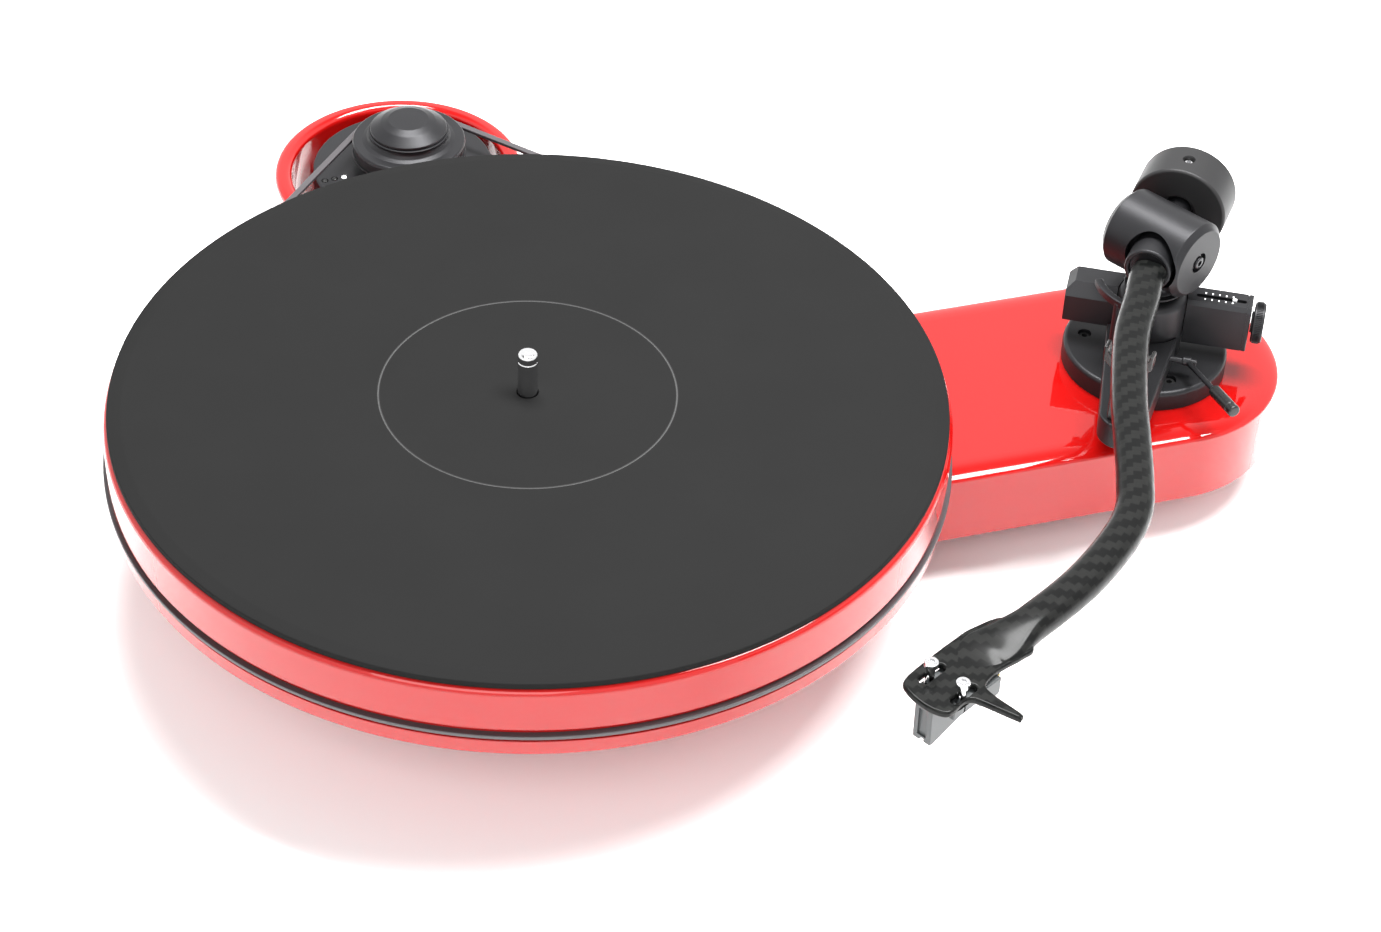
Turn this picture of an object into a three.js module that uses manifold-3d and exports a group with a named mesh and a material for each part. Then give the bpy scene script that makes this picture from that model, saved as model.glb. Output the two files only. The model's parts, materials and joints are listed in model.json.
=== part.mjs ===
// A belt-driven record player: a slim plinth with an arm board and a motor ring,
// a lacquered platter with a vinyl mat, a free-standing motor and a one-piece
// bent carbon tonearm in a gimbal bearing.
// Millimetres, +Z up. X runs from the platter's spindle to the tonearm's pivot.

import * as THREE from 'three';
import { mergeVertices } from 'three/addons/utils/BufferGeometryUtils.js';
import Module from 'manifold-3d';

const wasm = await Module();
wasm.setup();

// ---------------------------------------------------------------- driving sizes

const RUNNING_GAP = 0.15; // radial gap of a shaft in its bearing
const SEAT_GAP = 0.3; // gap between a piece and the pocket that holds it

// Heights, from the shelf up
const FOOT_HEIGHT = 16;
const FOOT_PAD_HEIGHT = 2;
const PLINTH_THICKNESS = 31.5;
const PLATTER_LIFT = 1.8; // plinth top to platter underside
const PLATTER_THICKNESS = 28.2;
const MAT_THICKNESS = 3;

// Plinth outline
const ARM_REACH = 238; // spindle to tonearm pivot
const ARM_BOARD_HALF = 49.3; // half the arm board's width and its end radius
const ARM_BOARD_SHIFT = 2.3; // the board's end and middle line, outwards and back from the pivot
const HUB_DISC_RADIUS = 95; // body under the platter
const BOARD_FILLET = 30; // board to hub disc
const RING_X = -2.2;
const RING_BACK = 1.2; // ring's middle behind the motor's shaft
const RING_OUTER = 50;
const RING_INNER = 43;
const NECK_FILLET = 60; // hub disc to motor ring
const PLINTH_EDGE = 2.5; // rounding of the plinth's edges

// Feet
const FOOT_RADIUS = 18;
const FOOT_BASE_RADIUS = 15;
const FOOT_PAD_RADIUS = 13;
const FOOT_PLACES = [[200, 0], [-48, -52], [0, 112]];

// Platter, mat and bearing
const PLATTER_RADIUS = 150;
const PLATTER_EDGE = 3;
const BELT_GROOVE_DEPTH = 1.2;
const BELT_GROOVE_HEIGHT = 5;
const BELT_CENTRE_ABOVE_PLATTER = 8.7; // from the platter's underside
const MAT_RADIUS = 148.5;
const MAT_BEVEL = 5;
const MAT_BEVEL_DROP = 0.8;
const LABEL_RADIUS = 52.8;
const LABEL_LINE_WIDTH = 0.8;
const LABEL_LINE_DEPTH = 0.4;
const SPINDLE_RADIUS = 3.6;
const SPINDLE_HEIGHT = 17.5; // above the mat
const BEARING_SHAFT_RADIUS = 5;
const HUB_FLANGE_RADIUS = 28;
const HUB_FLANGE_THICKNESS = 4;
const BEARING_BARREL_RADIUS = 11;
const BEARING_FLANGE_RADIUS = 22;
const BEARING_FLANGE_THICKNESS = 1.4;
const BEARING_FLOOR = 3;
const BEARING_DROP = 6; // barrel below the plinth
const BALL_RADIUS = 3;

// Belt
const BELT_HEIGHT = 3.6;
const BELT_THICKNESS = 1.5;

// Motor
const MOTOR_X = 2; // motor shaft and pulley
const PULLEY_TO_PLATTER = 18.6; // free space between their rims
const HOUSING_SHIFT = -2.5; // housing's axis to the left of the shaft
const MOTOR_FOOT_HEIGHT = 3;
const MOTOR_FOOT_RADIUS = 5;
const MOTOR_FOOT_CIRCLE = 26;
const MOTOR_RADIUS = 36.2;
const MOTOR_WALL = 2.5;
const MOTOR_TOP = 49;
const MOTOR_EDGE = 0.8;
const MOTOR_BASE_THICKNESS = 3;
const MOTOR_CAN_RADIUS = 19;
const MOTOR_SHAFT_RADIUS = 1.5;
const PULLEY_45_RADIUS = 21.9; // step in use
const PULLEY_33_RADIUS = 16.4;
const PULLEY_FLANGE_RADIUS = 22.8;
const PULLEY_CAP_RADIUS = 15.3;
const PULLEY_CAP_TOP_RADIUS = 8;
const PULLEY_CAP_HEIGHT = 5;
const PULLEY_FLANGE_THICKNESS = 1.6;
const PULLEY_33_HEIGHT = 4;
const LAMP_RADIUS = 1.1;
const LAMP_ANGLE = 185; // degrees round the housing
const LAMP_INSETS = [3.2, 7.2, 11.2]; // from the housing's edge
const BUTTON_RADIUS = 4;
const BUTTON_ANGLE = 215;
const BUTTON_INSET = 7.2; // from the housing's edge
const BUTTON_TRAVEL = 1.2;
const INLET_RADIUS = 4.5;
const INLET_BORE_RADIUS = 2.8;
const INLET_LENGTH = 7;
const INLET_HEIGHT = 10.5;

// Tonearm base and pillar
const ARM_BASE_RADIUS = 30.2;
const ARM_BASE_THICKNESS = 8;
const ARM_BASE_CHAMFER = 1.5;
const ARM_SLEEVE_RADIUS = 15;
const ARM_SLEEVE_DROP = 24; // sleeve below the plinth's top
const PILLAR_RADIUS = 12.5;
const PILLAR_STEM_RADIUS = 9.8;
const PILLAR_HEIGHT = 25; // above the arm base
const PILLAR_STEM_LENGTH = 26;
const BASE_SCREW_RADIUS = 2.2;
const BASE_SCREW_CIRCLE = 22.5;
const BASE_SCREW_ANGLES = [150, 270, 30];
const BEAM_ANGLE = -29.5; // degrees from +X
const BEAM_OFFSET = 3.7; // beam's centre line behind the pivot
const LEFT_BLOCK_TOP = 22.7; // above the arm base
const LEFT_BLOCK_REACH = 31.5;
const LEFT_BLOCK_WIDTH = 13.6;
const LEFT_BLOCK_HEIGHT = 15.3;
const LEFT_BLOCK_CHAMFER = 2.5;
const RIGHT_BLOCK_TOP = 22.8; // above the arm base
const RIGHT_BLOCK_REACH = 36.2;
const RIGHT_BLOCK_WIDTH = 10;
const RIGHT_BLOCK_HEIGHT = 18.6;
const BLOCK_CORNER = 0.6;
const SCALE_SLOT_START = 15.5;
const SCALE_SLOT_LENGTH = 18.5;
const SCALE_SLOT_WIDTH = 1.8;
const SCALE_SLOT_DEPTH = 3;
const POINTER_LENGTH = 1.6;
const POINTER_PLACE = 29.5; // along the beam, at rest
const POINTER_PROUD = 0.5;
const KNOB_RADIUS = 7.8;
const KNOB_LENGTH = 4;
const KNOB_DROP = 8.3; // knob's axis below the block's top
const KNOB_EDGE = 0.6;
const KNOB_STEM_RADIUS = 4;
const KNOB_STEM_LENGTH = 0.7;

// Arm rest, lift and cue lever
const TONGUE_THICKNESS = 10;
const TONGUE_TIP_RADIUS = 8.8;
const TONGUE_TIP = [-29.8, -48]; // from the pivot
const TONGUE_LEFT_ROOT = [-15, 3.2];
const TONGUE_RIGHT_ROOT = [-1.5, -22];
const REST_DISTANCE = 59; // pivot to rest clip along the arm
const REST_WIDTH = 18.5;
const REST_LENGTH = 5;
const REST_NOTCH_WIDTH = 13.5;
const REST_NOTCH_DEPTH = 2.5;
const REST_NOTCH_SLOPE = 2;
const REST_ASIDE = 6; // the tube's bend carries it this far to the arm line's right
const REST_CLEARANCE = 1.4; // rest clip below the arm tube
const LIFT_CLEARANCE = 3; // raised lift bar below the parked arm tube
const LIFT_OUTER = 22.3;
const LIFT_INNER = 19.6;
const LIFT_THICKNESS = 3;
const LIFT_START = -191; // degrees round the pivot
const LIFT_END = -112;
const LIFT_POST_ANGLE = -152;
const LIFT_POST_RADIUS = 1.6;
const LIFT_TRAVEL = 6.5;
const CUE_AXLE_RADIUS = 1.15;
const CUE_AXLE_START = [-2.4, -16.6]; // from the pivot
const CUE_AXLE_LENGTH = 13.6;
const CUE_AXLE_HEIGHT = 6.5; // above the arm base
const CUE_LEVER_LENGTH = 19;
const CUE_LEVER_RADIUS = 1;
const CUE_LEVER_PLACE = 10; // along the axle
const CUE_LEVER_HEADING = -84; // degrees from +X
const CUE_LEVER_RISE = 3; // degrees
const CUE_HANDLE_LENGTH = 15;
const CUE_HANDLE_RADIUS = 2.3;
const CUE_HANDLE_EDGE = 0.6;

// Gimbal and arm
const PIVOT_ABOVE_BASE = 46; // arm axis above the arm base
const GIMBAL_RADIUS = 14.75;
const GIMBAL_LENGTH = 34;
const GIMBAL_CHAMFER = 2.2;
const GIMBAL_CAVITY_RADIUS = 11.5;
const GIMBAL_END_WALL = 4;
const GIMBAL_MOUTH_RADIUS = 9.8;
const GIMBAL_MOUTH_RISE = 3.5; // half the mouth's extra height
const GIMBAL_AXIS_ANGLE = -60.6; // degrees from +X
const NECK_RADIUS = 8;
const YOKE_FLANGE_RADIUS = 11;
const YOKE_FLANGE_THICKNESS = 2;
const YOKE_LIFT = 1; // yoke flange above the pillar
const YOKE_SHAFT_RADIUS = 4;
const YOKE_SHAFT_LENGTH = 34;
const PIVOT_SCREW_RADIUS = 3.2;
const PIVOT_SCREW_LENGTH = 7;
const PIVOT_POINT_RADIUS = 1.2;
const ARM_LINE_ANGLE = -128.7; // the parked arm, degrees from +X
const YOKE_BLOCK_RADIUS = 8;
const YOKE_BLOCK_LENGTH = 18;
const COLLAR_RADIUS = 8.6;
const COLLAR_FRONT = 18.6;
const COLLAR_BACK = 8.4;
const TUBE_WIDTH = 12.6;
const TUBE_HEIGHT = 10.4;
const TUBE_DROP = 3.2; // fall of the tube from pivot to headshell
// The tube's centre line: distance along the arm line, distance to its right
const TUBE_LINE = [
  [24, 1.1], [36, 2.8], [53.5, 4.7], [70, 8.2], [92, 14.3], [112, 21.1], [131.5, 27.5],
  [146.5, 31.3], [163, 30.9], [186, 26.2], [208, 18.2], [224, 11],
];
const SCREW_MIDDLE = [250.9, 0.8]; // headshell's middle, along and beside the arm line
const OFFSET_ANGLE = -21.6; // headshell to arm line, degrees
const HEADSHELL_THICKNESS = 2.5;
const HEADSHELL_OUTLINE = [
  [-38, -6.6], [-27, -11.2], [-18, -11.9], [-2.4, -11.8], [7.2, -10.8], [10.2, -7], [11.4, -0.5],
  [11, 4.5], [9.4, 8], [6.7, 8.9], [1.5, 8.5], [-1, 9.4], [-2.2, 12], [-4.9, 24.4], [-6.2, 25.2],
  [-7.4, 23.9], [-7.8, 13], [-9.4, 8.4], [-15.3, 7], [-21.3, 7.4], [-28, 8.4], [-34, 7.5],
];
const CARTRIDGE_SCREW_SPACING = 12.7;
const CARTRIDGE_SLOT_WIDTH = 3.2;
const CARTRIDGE_SLOT_LENGTH = 9;
const CARTRIDGE_SCREW_RADIUS = 1.2;
const CARTRIDGE_HEAD_RADIUS = 2.3;
const CARTRIDGE_HEAD_HEIGHT = 2.2;
const CARTRIDGE_SCREW_PROUD = 6;
const CARTRIDGE_SCREW_GRIP = 3.5; // thread in the cartridge
const CARTRIDGE_WIDTH = 16.8;
const CARTRIDGE_BACK = -15.5; // from the screws
const CARTRIDGE_FRONT = 6.5;
const CARTRIDGE_BACK_DEPTH = 8;
const CARTRIDGE_FRONT_DEPTH = 12.4;
const STYLUS_HOLDER_WIDTH = 6.6;
const STYLUS_HOLDER_LENGTH = 3.6;
const STYLUS_HOLDER_DEPTH = 13.4;
const CANTILEVER_RADIUS = 0.35;
const CANTILEVER_LENGTH = 5;
const CANTILEVER_SLOPE = 20; // degrees
const STUB_RADIUS = 4.6;
const STUB_SHOULDER_RADIUS = 6.6;
const STUB_SHOULDER_END = 14;
const STUB_END = 50;
const WEIGHT_RADIUS = 17.8;
const WEIGHT_FRONT = 21.4;
const WEIGHT_LENGTH = 17.4;
const WEIGHT_EDGE = 1;
const SET_SCREW_RADIUS = 1.5;
const SET_SCREW_LENGTH = 8;
const SET_SCREW_SUNK = 1.2;

// Sockets under the arm board
const SOCKET_BOX = [44, 22, 12]; // width, depth, height
const SOCKET_BOX_BACK = 44; // rear face behind the spindle line
const SOCKET_RADIUS = 4.2;
const SOCKET_BORE = 1.7;
const SOCKET_LENGTH = 9;
const SOCKET_SPACING = 14;
const GROUND_RADIUS = 3;
const GROUND_LENGTH = 7;

// ---------------------------------------------------------------- worked-out places

const PLINTH_BOTTOM = FOOT_HEIGHT;
const PLINTH_TOP = PLINTH_BOTTOM + PLINTH_THICKNESS;
const PLATTER_BOTTOM = PLINTH_TOP + PLATTER_LIFT;
const PLATTER_TOP = PLATTER_BOTTOM + PLATTER_THICKNESS;
const MAT_TOP = PLATTER_TOP + MAT_THICKNESS;
const BELT_CENTRE = PLATTER_BOTTOM + BELT_CENTRE_ABOVE_PLATTER;
const ARM_BASE_TOP = PLINTH_TOP + ARM_BASE_THICKNESS;
const PILLAR_TOP = ARM_BASE_TOP + PILLAR_HEIGHT;
const ARM_AXIS = ARM_BASE_TOP + PIVOT_ABOVE_BASE;
const TONGUE_TOP = ARM_BASE_TOP + TONGUE_THICKNESS;
const TUBE_END_HEIGHT = ARM_AXIS - TUBE_DROP;
const HEADSHELL_BOTTOM = TUBE_END_HEIGHT - HEADSHELL_THICKNESS / 2;
const MOTOR_Y = PLATTER_RADIUS + PULLEY_TO_PLATTER + PULLEY_FLANGE_RADIUS;
const RING_Y = MOTOR_Y + RING_BACK;

// ---------------------------------------------------------------- finishes

const finish = (color, roughness, metalness) =>
  new THREE.MeshStandardMaterial({ color, roughness, metalness });
const RED_LACQUER = finish(0xd4120f, 0.12, 0);
const BLACK_METAL = finish(0x1c1c1e, 0.45, 0.6);
const BLACK_PLASTIC = finish(0x161617, 0.5, 0);
const MAT_VINYL = finish(0x3c3c3c, 0.6, 0);
const RUBBER = finish(0x222222, 0.85, 0);
const BELT_RUBBER = finish(0x4b4848, 0.8, 0);
const BRIGHT_STEEL = finish(0xd8d8da, 0.15, 1);
const BRASS = finish(0xb98d44, 0.3, 1);
const CARBON = finish(0x26272a, 0.2, 0.1);
const GREY_PLASTIC = finish(0x4c4f52, 0.45, 0);
const WHITE_LAMP = finish(0xf4f6ff, 0.3, 0);

// ---------------------------------------------------------------- geometry helpers

const radians = THREE.MathUtils.degToRad;
const degrees = THREE.MathUtils.radToDeg;

// One closed mesh with shared corners, no slivers and its faces outwards.
function closed(geometry) {
  geometry.deleteAttribute('normal');
  geometry.deleteAttribute('uv');
  const welded = mergeVertices(geometry, 1e-4);
  const place = welded.attributes.position;
  const corner = (k) => new THREE.Vector3().fromBufferAttribute(place, k);
  const kept = [];
  let volume = 0;
  for (let i = 0; i < welded.index.count; i += 3) {
    const [a, b, c] = [0, 1, 2].map((k) => welded.index.getX(i + k));
    if (a === b || b === c || c === a) continue;
    kept.push(a, b, c);
    volume += corner(a).dot(corner(b).cross(corner(c)));
  }
  if (volume < 0) kept.reverse();
  welded.setIndex(kept);
  return welded;
}

function turned(profile, sides = 32) {
  const points = profile.map(([r, z]) => new THREE.Vector2(r, z));
  const geometry = new THREE.LatheGeometry(points, sides);
  geometry.rotateX(Math.PI / 2);
  return closed(geometry);
}

const rod = (radius, low, high, sides = 16) =>
  turned([[0, low], [radius, low], [radius, high], [0, high]], sides);

// A ball's or dome's quarter arc as profile points, from its side to its top.
function quarterArc(r, z, size, steps) {
  const at = (k) => (k / steps) * (Math.PI / 2);
  return Array.from({ length: steps + 1 }, (_, k) =>
    [r + size * Math.cos(at(k)), z + size * Math.sin(at(k))]);
}

const arc = (x, y, radius, from, to, step) => {
  const count = Math.max(2, Math.ceil(Math.abs(to - from) / step));
  return Array.from({ length: count + 1 }, (_, k) => {
    const a = radians(from + ((to - from) * k) / count);
    return [x + radius * Math.cos(a), y + radius * Math.sin(a)];
  });
};

const outline = (points) => new THREE.Shape(points.map(([x, y]) => new THREE.Vector2(x, y)));

function plate(points, low, high, { edge = 0, holes = [] } = {}) {
  const shape = outline(points);
  shape.holes = holes.map(outline);
  const geometry = new THREE.ExtrudeGeometry(shape, {
    depth: high - low - 2 * edge,
    bevelEnabled: edge > 0,
    bevelThickness: edge,
    bevelSize: edge,
    bevelOffset: -edge,
    bevelSegments: 2,
  });
  geometry.translate(0, 0, low + edge);
  return closed(geometry);
}

const box = (x, y, z) => closed(new THREE.BoxGeometry(x, y, z));

const toSolid = (geometry) => new wasm.Manifold(new wasm.Mesh({
  numProp: 3,
  vertProperties: new Float32Array(geometry.attributes.position.array),
  triVerts: new Uint32Array(geometry.index.array),
}));

function fromSolid(solid) {
  const mesh = solid.getMesh();
  const geometry = new THREE.BufferGeometry();
  geometry.setAttribute('position', new THREE.BufferAttribute(mesh.vertProperties, 3));
  geometry.setIndex(new THREE.BufferAttribute(mesh.triVerts, 1));
  return geometry;
}

const cut = (body, ...tools) =>
  fromSolid(tools.reduce((left, tool) => left.subtract(toSolid(tool)), toSolid(body)));
const join = (body, ...more) =>
  fromSolid(more.reduce((left, piece) => left.add(toSolid(piece)), toSolid(body)));

// Turns a shape made along +Z so that it points along a heading and a rise, then places it.
function aim(geometry, headingDegrees, riseDegrees, x, y, z) {
  geometry.rotateY(Math.PI / 2 - radians(riseDegrees));
  geometry.rotateZ(radians(headingDegrees));
  geometry.translate(x, y, z);
  return geometry;
}

const player = new THREE.Group();
function add(name, geometry, material, parent = player) {
  const mesh = new THREE.Mesh(geometry, material);
  mesh.name = name;
  parent.add(mesh);
  return mesh;
}

// ---------------------------------------------------------------- plinth

// Outline from the front of the arm board anticlockwise: board end, board fillet,
// hub disc, neck fillet, motor ring, neck fillet, hub disc, board fillet.
function plinthOutline(step) {
  const toFillet = HUB_DISC_RADIUS + BOARD_FILLET;
  const rearY = ARM_BOARD_HALF + BOARD_FILLET + ARM_BOARD_SHIFT;
  const frontY = ARM_BOARD_HALF + BOARD_FILLET - ARM_BOARD_SHIFT;
  const [rearX, frontX] = [rearY, frontY].map((y) => Math.sqrt(toFillet ** 2 - y ** 2));
  const rearAngle = degrees(Math.atan2(rearY, rearX));
  const frontAngle = degrees(Math.atan2(frontY, frontX));
  const toHub = HUB_DISC_RADIUS + NECK_FILLET;
  const toRing = RING_OUTER + NECK_FILLET;
  const span = Math.hypot(RING_X, RING_Y);
  const along = (toHub ** 2 - toRing ** 2 + span ** 2) / (2 * span);
  const aside = Math.sqrt(toHub ** 2 - along ** 2);
  const tilt = degrees(Math.atan2(RING_Y, RING_X));
  const neckAtHub = degrees(Math.atan2(aside, along));
  const neckAtRing = degrees(Math.atan2(aside, span - along));
  const place = (side) => [
    (along * RING_X + side * aside * RING_Y) / span,
    (along * RING_Y - side * aside * RING_X) / span,
  ];
  const right = place(1);
  const left = place(-1);
  return [
    ...arc(ARM_REACH + ARM_BOARD_SHIFT, ARM_BOARD_SHIFT, ARM_BOARD_HALF, -90, 90, step),
    ...arc(rearX, rearY, BOARD_FILLET, 270, 180 + rearAngle, step),
    ...arc(0, 0, HUB_DISC_RADIUS, rearAngle, tilt - neckAtHub, step).slice(1),
    ...arc(right[0], right[1], NECK_FILLET, 180 + tilt - neckAtHub, tilt + neckAtRing, step).slice(1),
    ...arc(RING_X, RING_Y, RING_OUTER, tilt - 180 + neckAtRing, tilt + 180 - neckAtRing, step / 2).slice(1),
    ...arc(left[0], left[1], NECK_FILLET, tilt - neckAtRing, tilt - 180 + neckAtHub, step).slice(1),
    ...arc(0, 0, HUB_DISC_RADIUS, tilt + neckAtHub, 360 - frontAngle, step).slice(1),
    ...arc(frontX, -frontY, BOARD_FILLET, 180 - frontAngle, 90, step).slice(1),
  ];
}

const circleHole = (x, y, radius, step) => arc(x, y, radius, 0, 360, step).slice(1);

add('plinth', plate(plinthOutline(15), PLINTH_BOTTOM, PLINTH_TOP, {
  edge: PLINTH_EDGE,
  holes: [
    circleHole(RING_X, RING_Y, RING_INNER, 12),
    circleHole(0, 0, BEARING_BARREL_RADIUS + SEAT_GAP + PLINTH_EDGE, 20),
    circleHole(ARM_REACH, 0, ARM_SLEEVE_RADIUS + SEAT_GAP + PLINTH_EDGE, 20),
  ],
}), RED_LACQUER);

FOOT_PLACES.forEach(([x, y], k) => {
  const foot = turned([
    [0, FOOT_PAD_HEIGHT], [FOOT_BASE_RADIUS, FOOT_PAD_HEIGHT], [FOOT_RADIUS, FOOT_PAD_HEIGHT + 4],
    [FOOT_RADIUS, FOOT_HEIGHT], [0, FOOT_HEIGHT],
  ], 20);
  add(`foot_${k + 1}`, foot, BLACK_PLASTIC).position.set(x, y, 0);
  add(`foot_pad_${k + 1}`, rod(FOOT_PAD_RADIUS, 0, FOOT_PAD_HEIGHT, 20), RUBBER).position.set(x, y, 0);
});

// ---------------------------------------------------------------- main bearing

const barrelBottom = PLINTH_BOTTOM - BEARING_DROP;
const boreFloor = barrelBottom + BEARING_FLOOR;
const bearingBore = BEARING_SHAFT_RADIUS + RUNNING_GAP;
const bearingTop = PLINTH_TOP + BEARING_FLANGE_THICKNESS;
add('main_bearing_housing', turned([
  [0, barrelBottom], [BEARING_BARREL_RADIUS, barrelBottom], [BEARING_BARREL_RADIUS, PLINTH_TOP],
  [BEARING_FLANGE_RADIUS, PLINTH_TOP], [BEARING_FLANGE_RADIUS, bearingTop],
  [bearingBore, bearingTop], [bearingBore, boreFloor], [0, boreFloor],
], 24), BRASS);
const ball = closed(new THREE.SphereGeometry(BALL_RADIUS, 12, 8));
add('bearing_ball', ball, BRIGHT_STEEL).position.z = boreFloor + BALL_RADIUS;

// ---------------------------------------------------------------- platter, mat and spindle

const grooveLow = BELT_CENTRE - BELT_GROOVE_HEIGHT / 2;
const grooveHigh = BELT_CENTRE + BELT_GROOVE_HEIGHT / 2;
const grooveRadius = PLATTER_RADIUS - BELT_GROOVE_DEPTH;
const hubPocket = HUB_FLANGE_RADIUS + SEAT_GAP;
const hubTop = PLATTER_BOTTOM + HUB_FLANGE_THICKNESS;
const platterBore = BEARING_SHAFT_RADIUS + SEAT_GAP;
add('platter', turned([
  [hubPocket, PLATTER_BOTTOM], [PLATTER_RADIUS - 1, PLATTER_BOTTOM], [PLATTER_RADIUS, PLATTER_BOTTOM + 1],
  [PLATTER_RADIUS, grooveLow], [grooveRadius, grooveLow], [grooveRadius, grooveHigh],
  [PLATTER_RADIUS, grooveHigh],
  ...quarterArc(PLATTER_RADIUS - PLATTER_EDGE, PLATTER_TOP - PLATTER_EDGE, PLATTER_EDGE, 3),
  [platterBore, PLATTER_TOP], [platterBore, hubTop + SEAT_GAP], [hubPocket, hubTop + SEAT_GAP],
  [hubPocket, PLATTER_BOTTOM],
], 60), RED_LACQUER);

const labelInner = LABEL_RADIUS - LABEL_LINE_WIDTH / 2;
const labelOuter = LABEL_RADIUS + LABEL_LINE_WIDTH / 2;
const matBore = SPINDLE_RADIUS + SEAT_GAP;
add('platter_mat', turned([
  [matBore, PLATTER_TOP], [MAT_RADIUS, PLATTER_TOP], [MAT_RADIUS, MAT_TOP - MAT_BEVEL_DROP],
  [MAT_RADIUS - MAT_BEVEL, MAT_TOP], [labelOuter, MAT_TOP], [LABEL_RADIUS, MAT_TOP - LABEL_LINE_DEPTH],
  [labelInner, MAT_TOP], [matBore, MAT_TOP], [matBore, PLATTER_TOP],
], 60), MAT_VINYL);

const shaftFoot = boreFloor + 2 * BALL_RADIUS;
const spindleTip = MAT_TOP + SPINDLE_HEIGHT;
add('record_spindle', turned([
  [0, shaftFoot], [BEARING_SHAFT_RADIUS, shaftFoot], [BEARING_SHAFT_RADIUS, PLATTER_BOTTOM],
  [HUB_FLANGE_RADIUS, PLATTER_BOTTOM], [HUB_FLANGE_RADIUS, hubTop], [BEARING_SHAFT_RADIUS, hubTop],
  [BEARING_SHAFT_RADIUS, PLATTER_TOP - 1], [SPINDLE_RADIUS, PLATTER_TOP - 1],
  [SPINDLE_RADIUS, spindleTip - 1.6], [SPINDLE_RADIUS - 1, spindleTip - 0.4], [0, spindleTip],
], 24), BRIGHT_STEEL);

// ---------------------------------------------------------------- belt

// The belt's closed line round the platter's groove and the pulley's large step.
function beltLoop(aroundPlatter, aroundPulley, step) {
  const span = Math.hypot(MOTOR_X, MOTOR_Y);
  const heading = degrees(Math.atan2(MOTOR_Y, MOTOR_X));
  const contact = degrees(Math.acos((aroundPlatter - aroundPulley) / span));
  return [
    ...arc(0, 0, aroundPlatter, heading + contact, heading - contact + 360, step),
    ...arc(MOTOR_X, MOTOR_Y, aroundPulley, heading - contact, heading + contact, 2 * step),
  ];
}

// The loop's straight sides bow inwards from its circle, so its corners stand that much further out.
const beltStep = 6; // degrees
const beltInside = [
  (grooveRadius + SEAT_GAP) / Math.cos(radians(beltStep / 2)),
  (PULLEY_45_RADIUS + SEAT_GAP) / Math.cos(radians(beltStep)),
];
const beltOutside = beltInside.map((radius) => radius + BELT_THICKNESS);
add('drive_belt', plate(
  beltLoop(...beltOutside, beltStep), BELT_CENTRE - BELT_HEIGHT / 2, BELT_CENTRE + BELT_HEIGHT / 2,
  { holes: [beltLoop(...beltInside, beltStep)] },
), BELT_RUBBER);

// ---------------------------------------------------------------- motor

const motor = new THREE.Group();
motor.position.set(MOTOR_X, MOTOR_Y, 0);
player.add(motor);

const housing = new THREE.Group();
housing.position.x = HOUSING_SHIFT;
motor.add(housing);

const motorFloor = MOTOR_FOOT_HEIGHT + MOTOR_BASE_THICKNESS;
const motorInner = MOTOR_RADIUS - MOTOR_WALL;
const housingShell = turned([
  [0, MOTOR_TOP], [MOTOR_RADIUS - MOTOR_EDGE, MOTOR_TOP], [MOTOR_RADIUS, MOTOR_TOP - MOTOR_EDGE],
  [MOTOR_RADIUS, MOTOR_FOOT_HEIGHT], [motorInner, MOTOR_FOOT_HEIGHT],
  [motorInner, MOTOR_TOP - MOTOR_WALL], [0, MOTOR_TOP - MOTOR_WALL],
], 36);

// A round pin standing in the housing's top, from below it to above it.
function inTop(radius, ring, angle, low, high) {
  const pin = rod(radius, MOTOR_TOP + low, MOTOR_TOP + high, 12);
  pin.translate(ring * Math.cos(radians(angle)), ring * Math.sin(radians(angle)), 0);
  return pin;
}
function inRear(radius, low, high) {
  const pin = rod(radius, low, high, 16);
  pin.rotateX(-Math.PI / 2);
  pin.translate(0, MOTOR_RADIUS - INLET_LENGTH, INLET_HEIGHT);
  return pin;
}
const lampSunk = 1.4;
const lampRings = LAMP_INSETS.map((inset) => MOTOR_RADIUS - inset);
const buttonRing = MOTOR_RADIUS - BUTTON_INSET;
const shaftHole = rod(MOTOR_SHAFT_RADIUS + 1, 0, MOTOR_TOP + 5);
shaftHole.translate(-HOUSING_SHIFT, 0, 0);
add('motor_housing', cut(
  housingShell,
  shaftHole,
  ...lampRings.map((ring) => inTop(LAMP_RADIUS + SEAT_GAP, ring, LAMP_ANGLE, -lampSunk - SEAT_GAP, 5)),
  inTop(BUTTON_RADIUS + SEAT_GAP, buttonRing, BUTTON_ANGLE, -MOTOR_WALL - 5, 5),
  inRear(INLET_RADIUS + SEAT_GAP, -4, INLET_LENGTH + 5),
), BLACK_METAL, housing);
lampRings.forEach((ring, k) => {
  const lit = k === lampRings.length - 1;
  add(`speed_lamp_${k + 1}`, inTop(LAMP_RADIUS, ring, LAMP_ANGLE, -lampSunk, 0.2),
    lit ? WHITE_LAMP : BLACK_PLASTIC, housing);
});
add('speed_button', inTop(BUTTON_RADIUS, buttonRing, BUTTON_ANGLE, -MOTOR_WALL - 1, BUTTON_TRAVEL + 0.6),
  BLACK_PLASTIC, housing);
add('motor_base', rod(motorInner - SEAT_GAP, MOTOR_FOOT_HEIGHT, motorFloor, 36), BLACK_METAL, housing);
for (let k = 0; k < 3; k += 1) {
  const a = radians(90 + 120 * k);
  add(`motor_foot_${k + 1}`, rod(MOTOR_FOOT_RADIUS, 0, MOTOR_FOOT_HEIGHT), RUBBER, housing)
    .position.set(MOTOR_FOOT_CIRCLE * Math.cos(a), MOTOR_FOOT_CIRCLE * Math.sin(a), 0);
}
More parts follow.
